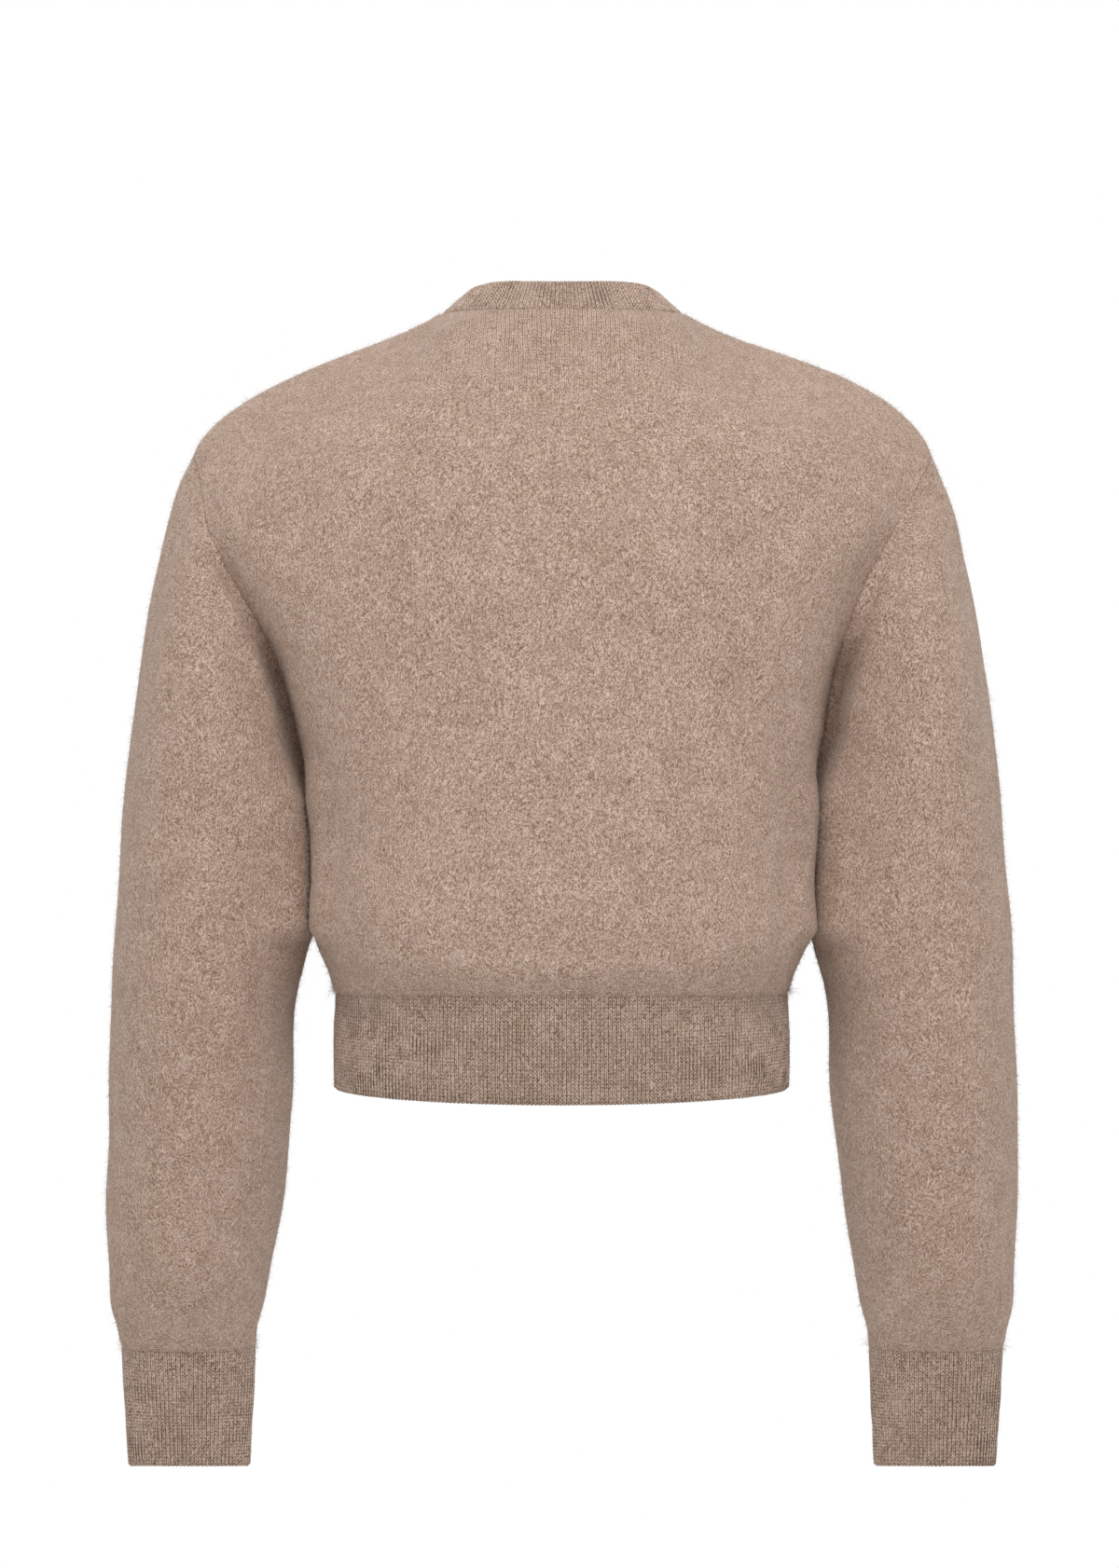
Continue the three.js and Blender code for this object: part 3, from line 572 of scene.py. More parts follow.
def quads_between(low, high, flip=False):
    """Quads between two lines of as many points, the second above the first seen from outside."""
    faces = np.stack([low[:-1], low[1:], high[1:], high[:-1]], 1)
    return faces[:, ::-1] if flip else faces


def grid_quads(index, flip=False):
    return np.concatenate([quads_between(index[j], index[j + 1], flip) for j in range(len(index) - 1)])


def shell(name, base, relief, thickness, weave, material, wraps=False, round_ends=(False, False)):
    """A closed cloth wall. base is its smooth outer form, relief what stands out from that, weave
    its stitch coordinates, and round_ends says if the wall's first and last row have round edges."""
    base = dressed(base)
    out = normals_of(base, wraps)
    thickness = np.broadcast_to(thickness, relief.shape)[..., None]
    outer = base + out * relief[..., None]
    inner = (base - out * thickness)[::INNER_STEP, ::INNER_STEP]
    rows, columns = relief.shape
    points = [outer.reshape(-1, 3), inner.reshape(-1, 3)]
    uvs = [weave.reshape(-1, 2), weave[::INNER_STEP, ::INNER_STEP].reshape(-1, 2)]
    ids = np.arange(rows * columns).reshape(rows, columns)
    inner_ids = ids.size + np.arange(inner.shape[0] * inner.shape[1]).reshape(inner.shape[:2])
    count = ids.size + inner_ids.size
    rims = {}
    for row, beyond, rounded in ((0, 1, round_ends[0]), (rows - 1, rows - 2, round_ends[1])):
        if rounded:
            into = base[row] - out[row] * thickness[row]
            middle = (outer[row] + into) / 2
            half = np.linalg.norm(outer[row] - into, axis=1, keepdims=True) / 2
            points.append(middle + unit(base[row] - base[beyond]) * half)
            uvs.append(weave[row])
            rims[row] = count + np.arange(columns)
            count += columns

    def closed(line):
        return np.append(line, line[0]) if wraps else line

    outer_ids = np.stack([closed(line) for line in ids])
    inside_ids = np.stack([closed(line) for line in inner_ids])
    faces = [grid_quads(outer_ids), grid_quads(inside_ids, True)]
    for row, inside in ((0, inside_ids[0]), (rows - 1, inside_ids[-1])):
        flip = row > 0
        edge = outer_ids[row]
        if row in rims:
            rim = closed(rims[row])
            faces.append(quads_between(rim, edge, flip))
            edge = rim
        faces.append(zipped(edge, inside, INNER_STEP, flip))
    period = None
    if wraps:
        period = float(np.ptp(weave[0, :, 0]) * columns / (columns - 1))
    else:
        for column, flip in ((0, True), (columns - 1, False)):
            into = inner_ids[:, 0 if column == 0 else -1]
            faces.append(zipped(ids[:, column], into, INNER_STEP, flip))
            for row in rims:
                corner = (ids[row, column], into[0 if row == 0 else -1], rims[row][column])
                turn = (column == 0) == (row == 0)
                faces.append(np.array([corner if turn else (corner[1], corner[0], corner[2])]))
    made = make_object(name, np.concatenate(points), faces, material, np.concatenate(uvs), period)
    return made, outer


# ---- Relief ----

def seam_dip(distance, depth=0.3, width=1.6):
    """How far the cloth rolls in beside a seam."""
    return -depth * bell(distance, width)


def lap_over(line, beside, share=1.0):
    """Draws the edge line of a grid out over its neighbour across the seam, in place."""
    line += unit(line - beside) * (LAP * np.broadcast_to(share, line.shape[:-1]))[..., None]


@cache
def armhole_line(side):
    """The armhole's back or front edge as rising heights, x and y."""
    height = np.linspace(STOPS[side][UNDERARM], STOPS[side][-1], 200)
    line = panel_points(side, np.array([1.0]), height, 0)[:, 0]
    return np.maximum.accumulate(line[:, 2] + np.arange(200) * 1e-6), line[:, 0], line[:, 1]


def creased(grid, part):
    """The left half of the garment's body or sleeve with its armhole creases pressed in, and the
    two pressed together below them."""
    x, y, z = grid[..., 0], grid[..., 1], grid[..., 2]
    moved = grid.copy()
    seam_y = np.zeros_like(z)
    for side, hand in (("back", 1), ("front", -1)):
        line_z, line_x, line_y = armhole_line(side)
        slope = np.interp(z, line_z, np.gradient(line_x, line_z))
        off = (x - np.interp(z, line_z, line_x)) / np.sqrt(1 + slope**2)
        into_sleeve = smooth((CREASE_SLEEVE_WIDTH - off) / CREASE_SLEEVE_RISE)
        crease = CREASES[side]
        deep = np.interp(z, crease.z, crease.depth)
        body_width = mix(CREASE_SOFT_WIDTH, CREASE_BODY_WIDTH, smooth((deep - 2) / 6))
        profile = np.where(off < 0, bell(off, body_width), into_sleeve)
        drawn = np.interp(z, crease.z, crease.drawn)
        push = drawn * np.exp(-np.abs(off) / DRAWN_WIDTH) - deep * profile
        facing = smooth(hand * y / 24)
        moved[..., 1] += hand * push * facing
        seam_y = np.where(hand * y >= 0, np.abs(np.interp(z, line_z, line_y)), seam_y)
    above = smooth((np.abs(y) - seam_y) / 9) * smooth((-244 - z) / 40)
    below = smooth((UNDERARM_Z - z) / 5)
    pressed = np.maximum(above, below) * smooth((z - APART_Z) / 14) * smooth((64 - np.abs(y)) / 36)
    meeting = MEETING_X + MEETING_BOW * y**2 + (MEETING_GAP if part == "sleeve" else -MEETING_GAP)
    reach = smooth((182 - x) / 25) if part == "sleeve" else smooth((x - 118) / 20)
    moved[..., 0] = mix(x, meeting, pressed * reach)
    return moved


def by_hand(x, place, uneven):
    """An uneven measure read at a place, on the side of the middle where x is."""
    left = np.interp(place, uneven.at, uneven.left)
    return np.where(x > 0, left, np.interp(place, uneven.at, uneven.right))


def dressed(grid):
    """How the garment differs from its pattern as it is worn: its creases wander, its shoulders
    have sunk, and it is drawn in where the hem grips it."""
    moved = grid.copy()
    x, y, z = grid[..., 0], grid[..., 1], grid[..., 2]
    off = np.abs(x) - np.interp(z, *(armhole_line("back")[:2]))
    near = bell(off, np.where(off > 0, WANDER_OUTSIDE, WANDER_INSIDE))
    moved[..., 0] += near * by_hand(x, z, WANDER)
    moved[..., 2] -= by_hand(x, np.abs(x), SUNK) * smooth((z + 105) / 60)
    below = z - HEM_TOP_Z
    body = smooth((BODY_END_X - np.abs(x)) / 0.3) * smooth((40 - below) / 14)
    moved[..., 0] *= 1 - HEM_GRIP * bell(below - 2, 26) * body
    outward = HEM_ROLL * np.exp(-np.abs(below) / 7) - HEM_HOLLOW * bell(below + 17, 14)
    moved[..., 1] += np.sign(y) * outward * smooth(np.abs(y) / 60) * body
    return moved


def rib_relief(ribs, height, grid, to_seam):
    """Ribs with their valleys at whole numbers, matted near the seam and here and there."""
    around = run_length(grid, 1)[:1] + 0 * to_seam
    waver = waves(around, to_seam, *RIB_WAVER)
    matted = np.clip(0.6 + waves(around, to_seam, *RIB_MATTING), 0.12, 1.1)
    full = height * matted * smooth(to_seam / 40 + 0.15)
    return full * (np.abs(np.sin(math.pi * (ribs + waver))) ** 0.75 - 0.6)


def sewn_ribs(count, height, grid, to_seam):
    """Ribs that are drawn flat and roll in where they are sewn on."""
    relief = rib_relief(count[None, :], height, grid, to_seam) * smooth(to_seam / 5)
    return relief + seam_dip(to_seam, 0.4, 1.5)


def stitches(columns, run):
    """Weave coordinates: columns of stitches or ribs, and rows along a distance."""
    return np.stack([columns + 0 * run, run / COURSE], -1)


# ---- Materials ----

class Shader:
    """Nodes of one material, added by kind and linked by input name."""

    def __init__(self, name):
        self.material = bpy.data.materials.new(name)
        self.material.use_nodes = True
        self.tree = self.material.node_tree
        self.tree.nodes.clear()

    def add(self, kind, values=(), **settings):
        made = self.tree.nodes.new("ShaderNode" + kind)
        for key, value in settings.items():
            setattr(made, key, value)
        for key, value in dict(values).items():
            if isinstance(value, bpy.types.NodeSocket):
                self.tree.links.new(value, made.inputs[key])
            else:
                made.inputs[key].default_value = value
        return made

    def math(self, operation, a, b=0.0, c=0.0):
        return self.add("Math", {0: a, 1: b, 2: c}, operation=operation).outputs[0]

    def vector(self, operation, a, b, c=(0, 0, 0)):
        return self.add("VectorMath", {0: a, 1: b, 2: c}, operation=operation).outputs[0]

    def ramp(self, value, *stops):
        """A colour for a value, from two or more stops, each a place and a colour."""
        made = self.add("ValToRGB", {"Fac": value})
        elements = made.color_ramp.elements
        for k, (place, colour) in enumerate(stops):
            stop = elements[k] if k < 2 else elements.new(place)
            stop.position = place
            stop.color = (*colour, 1)
        return made.outputs["Color"]

    def noise(self, vector, scale, detail=2.0, roughness=0.5):
        values = {"Vector": vector, "Scale": scale, "Detail": detail, "Roughness": roughness}
        return self.add("TexNoise", values).outputs["Fac"]

    def finish(self, surface):
        output = self.add("OutputMaterial")
        self.tree.links.new(surface, output.inputs["Surface"])
        return self.material


def knit_material(name, dark, middle, light, ribbed):
    """Brushed wool in mixed fibres. Stitches come from the weave coordinates, which count columns
    of stitches (or ribs) and rows, and the mixed colours from the place on the garment."""
    shader = Shader(name)
    place = shader.add("TexCoord").outputs["Object"]
    in_mm = shader.add("VectorMath", {0: place, "Scale": 1 / MM}, operation="SCALE").outputs[0]
    weave = shader.add("UVMap", uv_map="weave").outputs[0]
    split = shader.add("SeparateXYZ", {0: weave})
    column, row = split.outputs[0], split.outputs[1]
    if not ribbed:
        waver = shader.noise(in_mm, 0.13, 1.0, 0.5)
        column = shader.math("MULTIPLY_ADD", waver, 1.1, column)
        row = shader.math("MULTIPLY_ADD", waver, 1.6, row)
    off = shader.math("ABSOLUTE", shader.math("SUBTRACT", shader.math("FRACT", column), 0.5))
    off = shader.math("MULTIPLY", off, 2.0)
    # A stitch is a V: two slanting legs with a gap between them, and a deeper one between columns.
    gap = shader.math("ABSOLUTE", shader.math("SUBTRACT", off, 0.5))
    gap = shader.math("POWER", shader.math("MULTIPLY", gap, 2.0), 2.2)
    gap = shader.math("MULTIPLY", gap, shader.math("MULTIPLY_ADD", off, 0.5, 0.5))
    slant = shader.math("MULTIPLY_ADD", off, 0.8, row)
    loop = shader.math("COSINE", shader.math("MULTIPLY", slant, 2 * math.pi))
    loop = shader.math("MULTIPLY_ADD", loop, 0.5, 0.5)
    loop = shader.math("MULTIPLY_ADD", loop, 0.45, 0.55)
    stitch = shader.math("MULTIPLY", shader.math("SUBTRACT", 1.0, gap), loop)
    # The nap is thinnest round the neck, where the stitches show.
    split = shader.add("SeparateXYZ", {0: in_mm})
    across = shader.math("ABSOLUTE", split.outputs[0])
    height = shader.math("MULTIPLY_ADD", split.outputs[2], 0.011, 1.05)
    bare = shader.math("SUBTRACT", height, shader.math("MULTIPLY", across, 0.0035))
    bare = shader.add("Clamp", {"Value": bare, "Min": 0.12, "Max": 1.0}).outputs[0]
    stitch_share = 1.25 if ribbed else shader.math("MULTIPLY", bare, 1.15)

    # The nap is brushed down, and swirls a little.
    swirl = shader.add("TexNoise", {"Vector": in_mm, "Scale": 0.05, "Detail": 1.0}).outputs["Color"]
    swirl = shader.vector("SUBTRACT", swirl, (0.5, 0.5, 0.5))
    swirl = shader.vector("MULTIPLY_ADD", swirl, (9, 9, 9), in_mm)
    streaks = []
    for turn in (0.3, -0.55, 1.45):
        values = {"Vector": swirl, "Rotation": (0, turn, 0), "Scale": (0.46, 0.46, 2.8)}
        turned = shader.add("Mapping", values, vector_type="TEXTURE")
        streaks.append(shader.noise(turned.outputs[0], 1.0, 2.0, 0.6))
    fleck = shader.noise(in_mm, 1.15, 2.0, 0.7)
    patch = shader.noise(swirl, 0.11, 2.0, 0.55)
    blotch = shader.noise(in_mm, 0.035, 1.0, 0.5)

    def add_share(total, part, share):
        return shader.math("MULTIPLY_ADD", shader.math("SUBTRACT", part, 0.5), share, total)

    hairs = add_share(0.0, fleck, 1.2)
    for streak, share in zip(streaks, (2.0, 2.0, 1.5)):
        hairs = add_share(hairs, streak, share)
    if not ribbed:
        hairs = shader.math("MULTIPLY", hairs, shader.math("MULTIPLY_ADD", bare, -0.5, 1.1))
    tone = add_share(0.5, patch, 0.4 if ribbed else 0.3)
    tone = add_share(tone, blotch, 0.15)
    tone = shader.math("ADD", tone, hairs)
    if not ribbed:
        # A half ring of sewing shows faintly below the back of the neck.
        from_centre = shader.vector("ADD", in_mm, (-1.1, 0, 15))
        reach = shader.vector("MULTIPLY", from_centre, (1 / 14, 0, 1 / 20))
        reach = shader.add("VectorMath", {0: reach}, operation="LENGTH").outputs["Value"]
        ring = shader.math("COMPARE", reach, 1.0, 0.05)
        behind = shader.add("SeparateXYZ", {0: from_centre})
        ring = shader.math("MULTIPLY", ring, shader.math("LESS_THAN", behind.outputs[2], 0.0))
        ring = shader.math("MULTIPLY", ring, shader.math("GREATER_THAN", behind.outputs[1], 0.0))
        tone = shader.math("MULTIPLY_ADD", ring, -0.1, tone)
    # The gaps between the stitches, or between the ribs, are made darker in the colour here: painted
    # shade, beside the bump below.
    tone = shader.math("MULTIPLY_ADD", shader.math("SUBTRACT", stitch, 0.6), stitch_share, tone)
    colour = shader.ramp(tone, (0.0, dark), (1.0, light), (0.5, middle))
    warm = shader.ramp(patch, (0.25, (0.99, 0.965, 0.92)), (0.75, (1.0, 1.0, 1.0)))
    dyed = shader.add("Mix", {0: 1.0, 6: colour, 7: warm}, data_type="RGBA", blend_type="MULTIPLY")

    nap = shader.math("MULTIPLY_ADD", fleck, 0.7, shader.math("ADD", streaks[0], streaks[1]))
    relief = shader.math("MULTIPLY_ADD", stitch, stitch_share, nap)
    bump = shader.add("Bump", {"Strength": 0.7, "Distance": 0.5 * MM, "Height": relief}).outputs[0]
    surface = shader.add(
        "BsdfPrincipled",
        {
            "Base Color": dyed.outputs[2],
            "Roughness": 0.95,
            "Specular IOR Level": 0.1,
            "Sheen Weight": 0.2,
            "Sheen Roughness": 0.5,
            "Sheen Tint": (1.0, 0.96, 0.9, 1),
            "Normal": bump,
        },
    )
    return shader.finish(surface.outputs[0])


def fibre_material():
    """Loose fibres, dark and pale ones mixed, which let some light through."""
    shader = Shader("loose_fibre")
    place = shader.add("TexCoord").outputs["Object"]
    own = shader.math("SUBTRACT", shader.add("NewGeometry").outputs["Random Per Island"], 0.5)
    clump = shader.math("SUBTRACT", shader.noise(place, 520, 1.0, 0.5), 0.5)
    tone = shader.math("MULTIPLY_ADD", own, 0.45, shader.math("MULTIPLY_ADD", clump, 3.2, 0.5))
    colour = shader.ramp(tone, (0.0, (0.20, 0.13, 0.095)), (1.0, (0.86, 0.70, 0.59)))
    values = {"Base Color": colour, "Roughness": 0.9, "Specular IOR Level": 0.1}
    face = shader.add("BsdfPrincipled", values).outputs[0]
    through = shader.add("BsdfTranslucent", {"Color": colour}).outputs[0]
    return shader.finish(shader.add("MixShader", {0: 0.5, 1: face, 2: through}).outputs[0])


KNITS = {name: knit_material(name, *colours) for name, colours in KNIT_COLOURS.items()}
FIBRE = fibre_material()


# ---- Fuzz ----

def fuzz(name, grid, length, wraps=False, shaggy=None):
    """Short loose fibres standing on a grid's face, as one piece. Each is a thin triangle. Where
    shaggy is above 0 they are that much denser and longer, and above 0.5 they are bent kites."""
    rng = np.random.default_rng(SEED + sum(map(ord, name)))
    if shaggy is None:
        shaggy = np.zeros(grid.shape[:2])
    if wraps:
        grid = np.concatenate([grid, grid[:, :1]], 1)
        shaggy = np.concatenate([shaggy, shaggy[:, :1]], 1)
    shaggy = shaggy[:-1, :-1].ravel()
    a, b, c, d = grid[:-1, :-1], grid[:-1, 1:], grid[1:, 1:], grid[1:, :-1]
    square = np.cross(c - a, d - b)
    area = np.linalg.norm(square, axis=-1).ravel() / 2 * (1 + shaggy)
    count = int(area.sum() * FUZZ_DENSITY)
    at = rng.choice(area.size, count, p=area / area.sum())
    u, v = rng.random((2, count, 1))
    corners = [k.reshape(-1, 3)[at] for k in (a, b, c, d)]
    root = mix(mix(corners[0], corners[1], u), mix(corners[3], corners[2], u), v)
    outward = unit(square.reshape(-1, 3)[at])
    down = unit(corners[0] - corners[3])
    stray = unit(rng.normal(0, 1, (count, 3)))
    along = stray + down * 0.45 + outward * rng.uniform(0.1, 1.1, (count, 1))
    lowest = (along * outward).sum(-1, keepdims=True)
    along = unit(along + outward * np.maximum(0.12 - lowest, 0))
    bend = unit(along + rng.normal(0, 0.4, (count, 3)) + down * 0.2)
    size = rng.uniform(*length, (count, 1)) * (0.6 + 1.3 * rng.random((count, 1)) ** 3)
    longer = smooth(shaggy[at][:, None] / 3)
    size *= 1 + 0.9 * longer
    flat = unit(np.cross(along, rng.normal(0, 1, (count, 3)))) * FIBRE_WIDTH / 2
    middle = root + along * size * 0.5
    tip = middle + bend * size * 0.5
    bent = shaggy[at] > 0.5
    straight = np.stack([root + flat, root - flat, tip], 1)[~bent].reshape(-1, 3)
    kites = np.stack([root, middle + flat, middle - flat, tip], 1)[bent].reshape(-1, 3)
    start = len(straight) + np.arange(len(kites) // 4)[:, None] * 4
    lower, upper = start + np.array([[0, 1, 2]]), start + np.array([[2, 1, 3]])
    faces = [np.arange(len(straight)).reshape(-1, 3), lower, upper]
    made = make_object(name, np.concatenate([straight, kites]), faces, FIBRE)
    return made


def make_cloth(
    node, grid, relief, thickness, weave, wraps=False, shaggy=None, round_ends=(False, False)
):
    """A cloth wall in place of a node, with the fuzz on it, in the knit and fibres of the node's cut."""
    cut = CUTS[node.removesuffix("_left").removesuffix("_right")]
    ribbed = KNIT_COLOURS[cut.knit].ribbed
    name = f"{node}_rib" if ribbed else f"{node}_knit"
    piece, outer = shell(name, grid, relief, thickness, weave, KNITS[cut.knit], wraps, round_ends)
    hairs = fuzz(f"fuzz_{node}", outer, cut.fibre, wraps, shaggy)
    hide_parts(node)


# ---- Back and fronts ----

def wall_thickness(nearest):
    """The plain knit's thickness, at distances from the nearest seam."""
    return JERSEY * mix(SEAM_WALL, 1, smooth(nearest / SEAM_WALL_WIDTH))


def panel_relief(grid):
    """Seams, gathers and blousing of half a panel, on the wearer's left."""
    z = grid[..., 2]
    to_edge = run_length(grid[:, ::-1], 1)[:, ::-1]
    to_hem = run_length(grid, 0)
    to_top = to_hem[-1:] - to_hem
    on_armhole = smooth((z - UNDERARM_Z) / 6)
    relief = 0.15 * bell(to_edge, 1.5) * on_armhole - 0.08 * bell(to_edge, 1.6) * (1 - on_armhole)
    relief += seam_dip(to_hem, 0.1) + seam_dip(to_top, 0.6, 1.4)
    relief += SHOULDER_FILL * bell(to_edge, 7) * smooth((z + 115) / 30)
    relief += gathers(run_length(grid, 1)[:1] + 0 * to_hem, to_hem, *HEM_GATHERS)
    relief += BLOUSING * bell(to_hem - 19, 9) * smooth(np.abs(grid[..., 1]) / 100)
    return relief


def panel(side, start_x):
    """Half a panel's form, relief, thickness, weave, shagginess and share away from its seams."""
    fine = np.linspace(0, 1, 2001)
    length = run_length(section_points(SECTIONS[side][UNDERARM + 1], fine, start_x))
    share = np.interp(lines_between(length[-1], GRID_STEP, (start_x > 0, True)), length, fine)
    share[np.argmin(np.abs(share - NECK_SHARE))] = NECK_SHARE
    height = lines_between(STOPS[side][-1], GRID_STEP)
    grid = creased(panel_points(side, share, height, start_x), "body")
    relief = panel_relief(grid)
    armhole = smooth((height - STOPS[side][UNDERARM]) / 6)
    scallops = 0.3 + 0.3 * np.sin(2 * math.pi * grid[-1, :, 0] / SCALLOP)
    on_neck = mix(scallops, 1, smooth((share - 0.2) / 0.06)) * smooth((NECK_SHARE - share) / 0.07)
    lap_over(grid[0], grid[1], mix(1, 0.25, smooth((share - 0.84) / 0.12)))
    lap_over(grid[-1], grid[-2], on_neck)
    lap_over(grid[:, -1], grid[:, -2], armhole)
    to_edge = run_length(grid[:, ::-1], 1)[:, ::-1]
    to_hem = run_length(grid, 0)
    nearest = np.minimum(np.minimum(to_edge, to_hem), to_hem[-1:] - to_hem)
    thickness = wall_thickness(nearest)
    weave = stitches((run_length(grid, 1) + start_x) / WALE, to_hem)
    low = smooth((-150 - grid[..., 2]) / 60) * smooth((grid[..., 2] + 345) / 30)
    shaggy = 3 * bell(to_edge - 3, 4) * low + 2 * bell(to_hem, 4) + 0.45 * bell(to_hem[-1:] - to_hem, 9)
    return grid, relief, thickness, weave, shaggy, smooth(nearest / 25)


def both_halves(half, flip_u=False):
    """A half and its mirror image, from the wearer's left across the centre of the back."""
    turned = half[:, ::-1]
    other = half.copy()
    if half.ndim == 3 and half.shape[-1] == 3:
        other = other * (-1, 1, 1)
    if flip_u:
        turned = turned * (-1, 1)
    return np.concatenate([turned, other[:, 1:]], 1)


def make_back():
    grid, relief, thickness, weave, shaggy, inside = panel("back", 0)
    grid, relief, thickness = both_halves(grid), both_halves(relief), both_halves(thickness)
    weave, shaggy, inside = both_halves(weave, True), both_halves(shaggy), both_halves(inside)
    x, z = grid[..., 0], grid[..., 2]
    relief = relief + waves(x, z, WAVE_HEIGHT, WAVE_LENGTHS) * inside
    for dimple in DIMPLES:
        relief -= dimple.depth * bell(np.hypot(x - dimple.x, z - dimple.z), dimple.width)
    make_cloth("back", grid, relief, thickness, weave, shaggy=shaggy)


def make_front(hand):
    start_x = abs(UNDER_SEWN_X if hand == "left" else OVER_SEWN_X)
    grid, relief, thickness, weave, shaggy, inside = panel("front", start_x)
    relief = relief + waves(grid[..., 0], grid[..., 2], WAVE_HEIGHT, WAVE_LENGTHS) * inside
    if hand == "right":
        grid, relief, thickness = mirrored(grid), relief[:, ::-1], thickness[:, ::-1]
        weave, shaggy = weave[:, ::-1], shaggy[:, ::-1]
    make_cloth(f"front_{hand}", grid, relief, thickness, weave, shaggy=shaggy)


# ---- Sleeves and cuffs ----

def make_sleeve(hand):
    angle = np.arange(SLEEVE_COLUMNS) * 2 * math.pi / SLEEVE_COLUMNS
    drop = lines_between(-SLEEVE_RINGS[-1].z + SLEEVE_RINGS[0].z, GRID_STEP, (False, True), 1)
    ring_z = SLEEVE_RINGS[0].z - drop
    cap_rows = CAP_ROWS
    while (cap_rows + len(ring_z) - 1) % INNER_STEP:
        cap_rows += 1
    grid = creased(sleeve_points(angle, cap_rows, ring_z)[::-1], "sleeve")
    lap_over(grid[0], grid[1])
    x, z = grid[..., 0], grid[..., 2]
    to_cuff = run_length(grid, 0)
    to_armhole = to_cuff[-1:] - to_cuff
    relief = seam_dip(to_cuff, 0.1) + seam_dip(to_armhole, 0.25) - CUFF_GRIP * bell(to_cuff - 13, 11)
    outer_arm = smooth((x - 195) / 40) * smooth((-82 - z) / 70) * smooth((z + 290) / 120)
    relief -= ARM_FLAT * outer_arm
    around_cuff = run_length(grid, 1)[:1] + 0 * to_cuff
    relief += gathers(around_cuff, to_cuff, *CUFF_GATHERS)
    relief += SHOULDER_FILL * bell(to_armhole, 7) * smooth((z + 115) / 30)
    across = SLEEVE_RINGS[0].half_depth * np.cos(angle)[None, :] + 0 * to_cuff
    uneven = waves(across, z, SLEEVE_WAVE_HEIGHT, SLEEVE_WAVE_LENGTHS)
    nearest = np.minimum(to_cuff, to_armhole)
    relief += uneven * smooth(nearest / 25)
    thickness = wall_thickness(nearest)
    around = np.arange(SLEEVE_COLUMNS) * round(360 / WALE) / SLEEVE_COLUMNS
    weave = stitches(around[None, :], to_cuff)
    beside_body = smooth((162 - x) / 12) * smooth((z + 355) / 20) * smooth((-270 - z) / 20)
    shaggy = 3 * bell(to_armhole - 8, 7) * smooth((-150 - z) / 60) + 3 * beside_body + 2 * bell(to_cuff, 4)
    if hand == "right":
        grid, relief = mirrored(grid), relief[:, ::-1]
        thickness, shaggy = thickness[:, ::-1], shaggy[:, ::-1]
    make_cloth(f"sleeve_{hand}", grid, relief, thickness, weave, wraps=True, shaggy=shaggy)


def make_cuff(hand):
    columns = CUFF_RIBS * RIB_COLUMNS
    fine = np.linspace(0, 2 * math.pi, 3001)
    top = SLEEVE_RINGS[-1]
    middle = SleeveRing(*(mix(a, b, 0.5) for a, b in zip(top, CUFF_END)))
    length = run_length(sleeve_ring(middle, fine))
    angle = np.interp(np.arange(columns) * length[-1] / columns, length, fine)
    t = lines_between(CUFF_HEIGHT, 3.2, (True, False))[:, None] / CUFF_HEIGHT
    ring = SleeveRing(*(mix(a, b, t) for a, b in zip(top, CUFF_END)))
    grid = sleeve_ring(ring, angle[None, :])[::-1]
    to_end = run_length(grid, 0)
    to_seam = to_end[-1:] - to_end
    count = np.arange(columns) * CUFF_RIBS / columns
    relief = sewn_ribs(count, RIB_HEIGHT, grid, to_seam)
    end_rise = CUFF_END_RISE * np.maximum(np.sin(angle), 0)
    grid[..., 2] += (1 - smooth(to_end / CUFF_HEIGHT)) * end_rise[None, :]
    weave = stitches(count[None, :], to_end)
    if hand == "right":
        grid, relief = mirrored(grid), relief[:, ::-1]
    make_cloth(f"cuff_{hand}", grid, relief, RIB, weave, wraps=True, round_ends=(True, False))


# ---- Hem ----

def hem_section(side, t):
    """The hem's section at share t of its height below the rib seam."""
    top = SECTIONS[side][0]
    return Section(
        top.mid_z - t * HEM_HEIGHT,
        top.edge_z - t * HEM_HEIGHT + t * (top.mid_z - top.edge_z),
        mix(top.edge_x, HEM_END_X, t),
        mix(top.mid_y, math.copysign(HEM_END_Y, top.mid_y), t),
        top.edge_y,
        top.turn,
    )


def hem_half(side, start_x):
    """Half a hem rib's form, and its count of ribs from the centre line."""
    fine = np.linspace(0, 1, 2001)
    length = run_length(section_points(hem_section(side, 0.5), fine, start_x))
    ribs = round(length[-1] / HEM_RIB)
    columns = ribs * RIB_COLUMNS
    share = np.interp(np.linspace(0, length[-1], columns + 1), length, fine)
    t = lines_between(HEM_HEIGHT, 4.0, (False, True)) / HEM_HEIGHT
    grid = np.stack([section_points(hem_section(side, 1 - k), share, start_x) for k in t])
    count = np.linspace(0, ribs, columns + 1)
    return grid, count


def make_hem(node, grid, count):
    to_end = run_length(grid, 0)
    to_seam = to_end[-1:] - to_end
    relief = sewn_ribs(count, RIB_HEIGHT, grid, to_seam)
    end_rise = mix(*HEM_END_RISE, (grid[..., 0] / HEM_RISE_X) ** 2)
    grid[..., 2] += (1 - smooth(to_end / HEM_HEIGHT)) * end_rise
    make_cloth(node, grid, relief, RIB, stitches(count[None, :], to_end), round_ends=(True, False))


def make_hems():
    grid, count = hem_half("back", 0)
    count = np.concatenate([-count[::-1], count[1:]]) + count[-1]
    make_hem("hem_back", both_halves(grid), count)
    for hand, sewn in (("left", UNDER_SEWN_X), ("right", OVER_SEWN_X)):
        grid, count = hem_half("front", abs(sewn))
        if hand == "right":
            grid = mirrored(grid)
        make_hem(f"hem_front_{hand}", grid, count)


# ---- Neckband ----

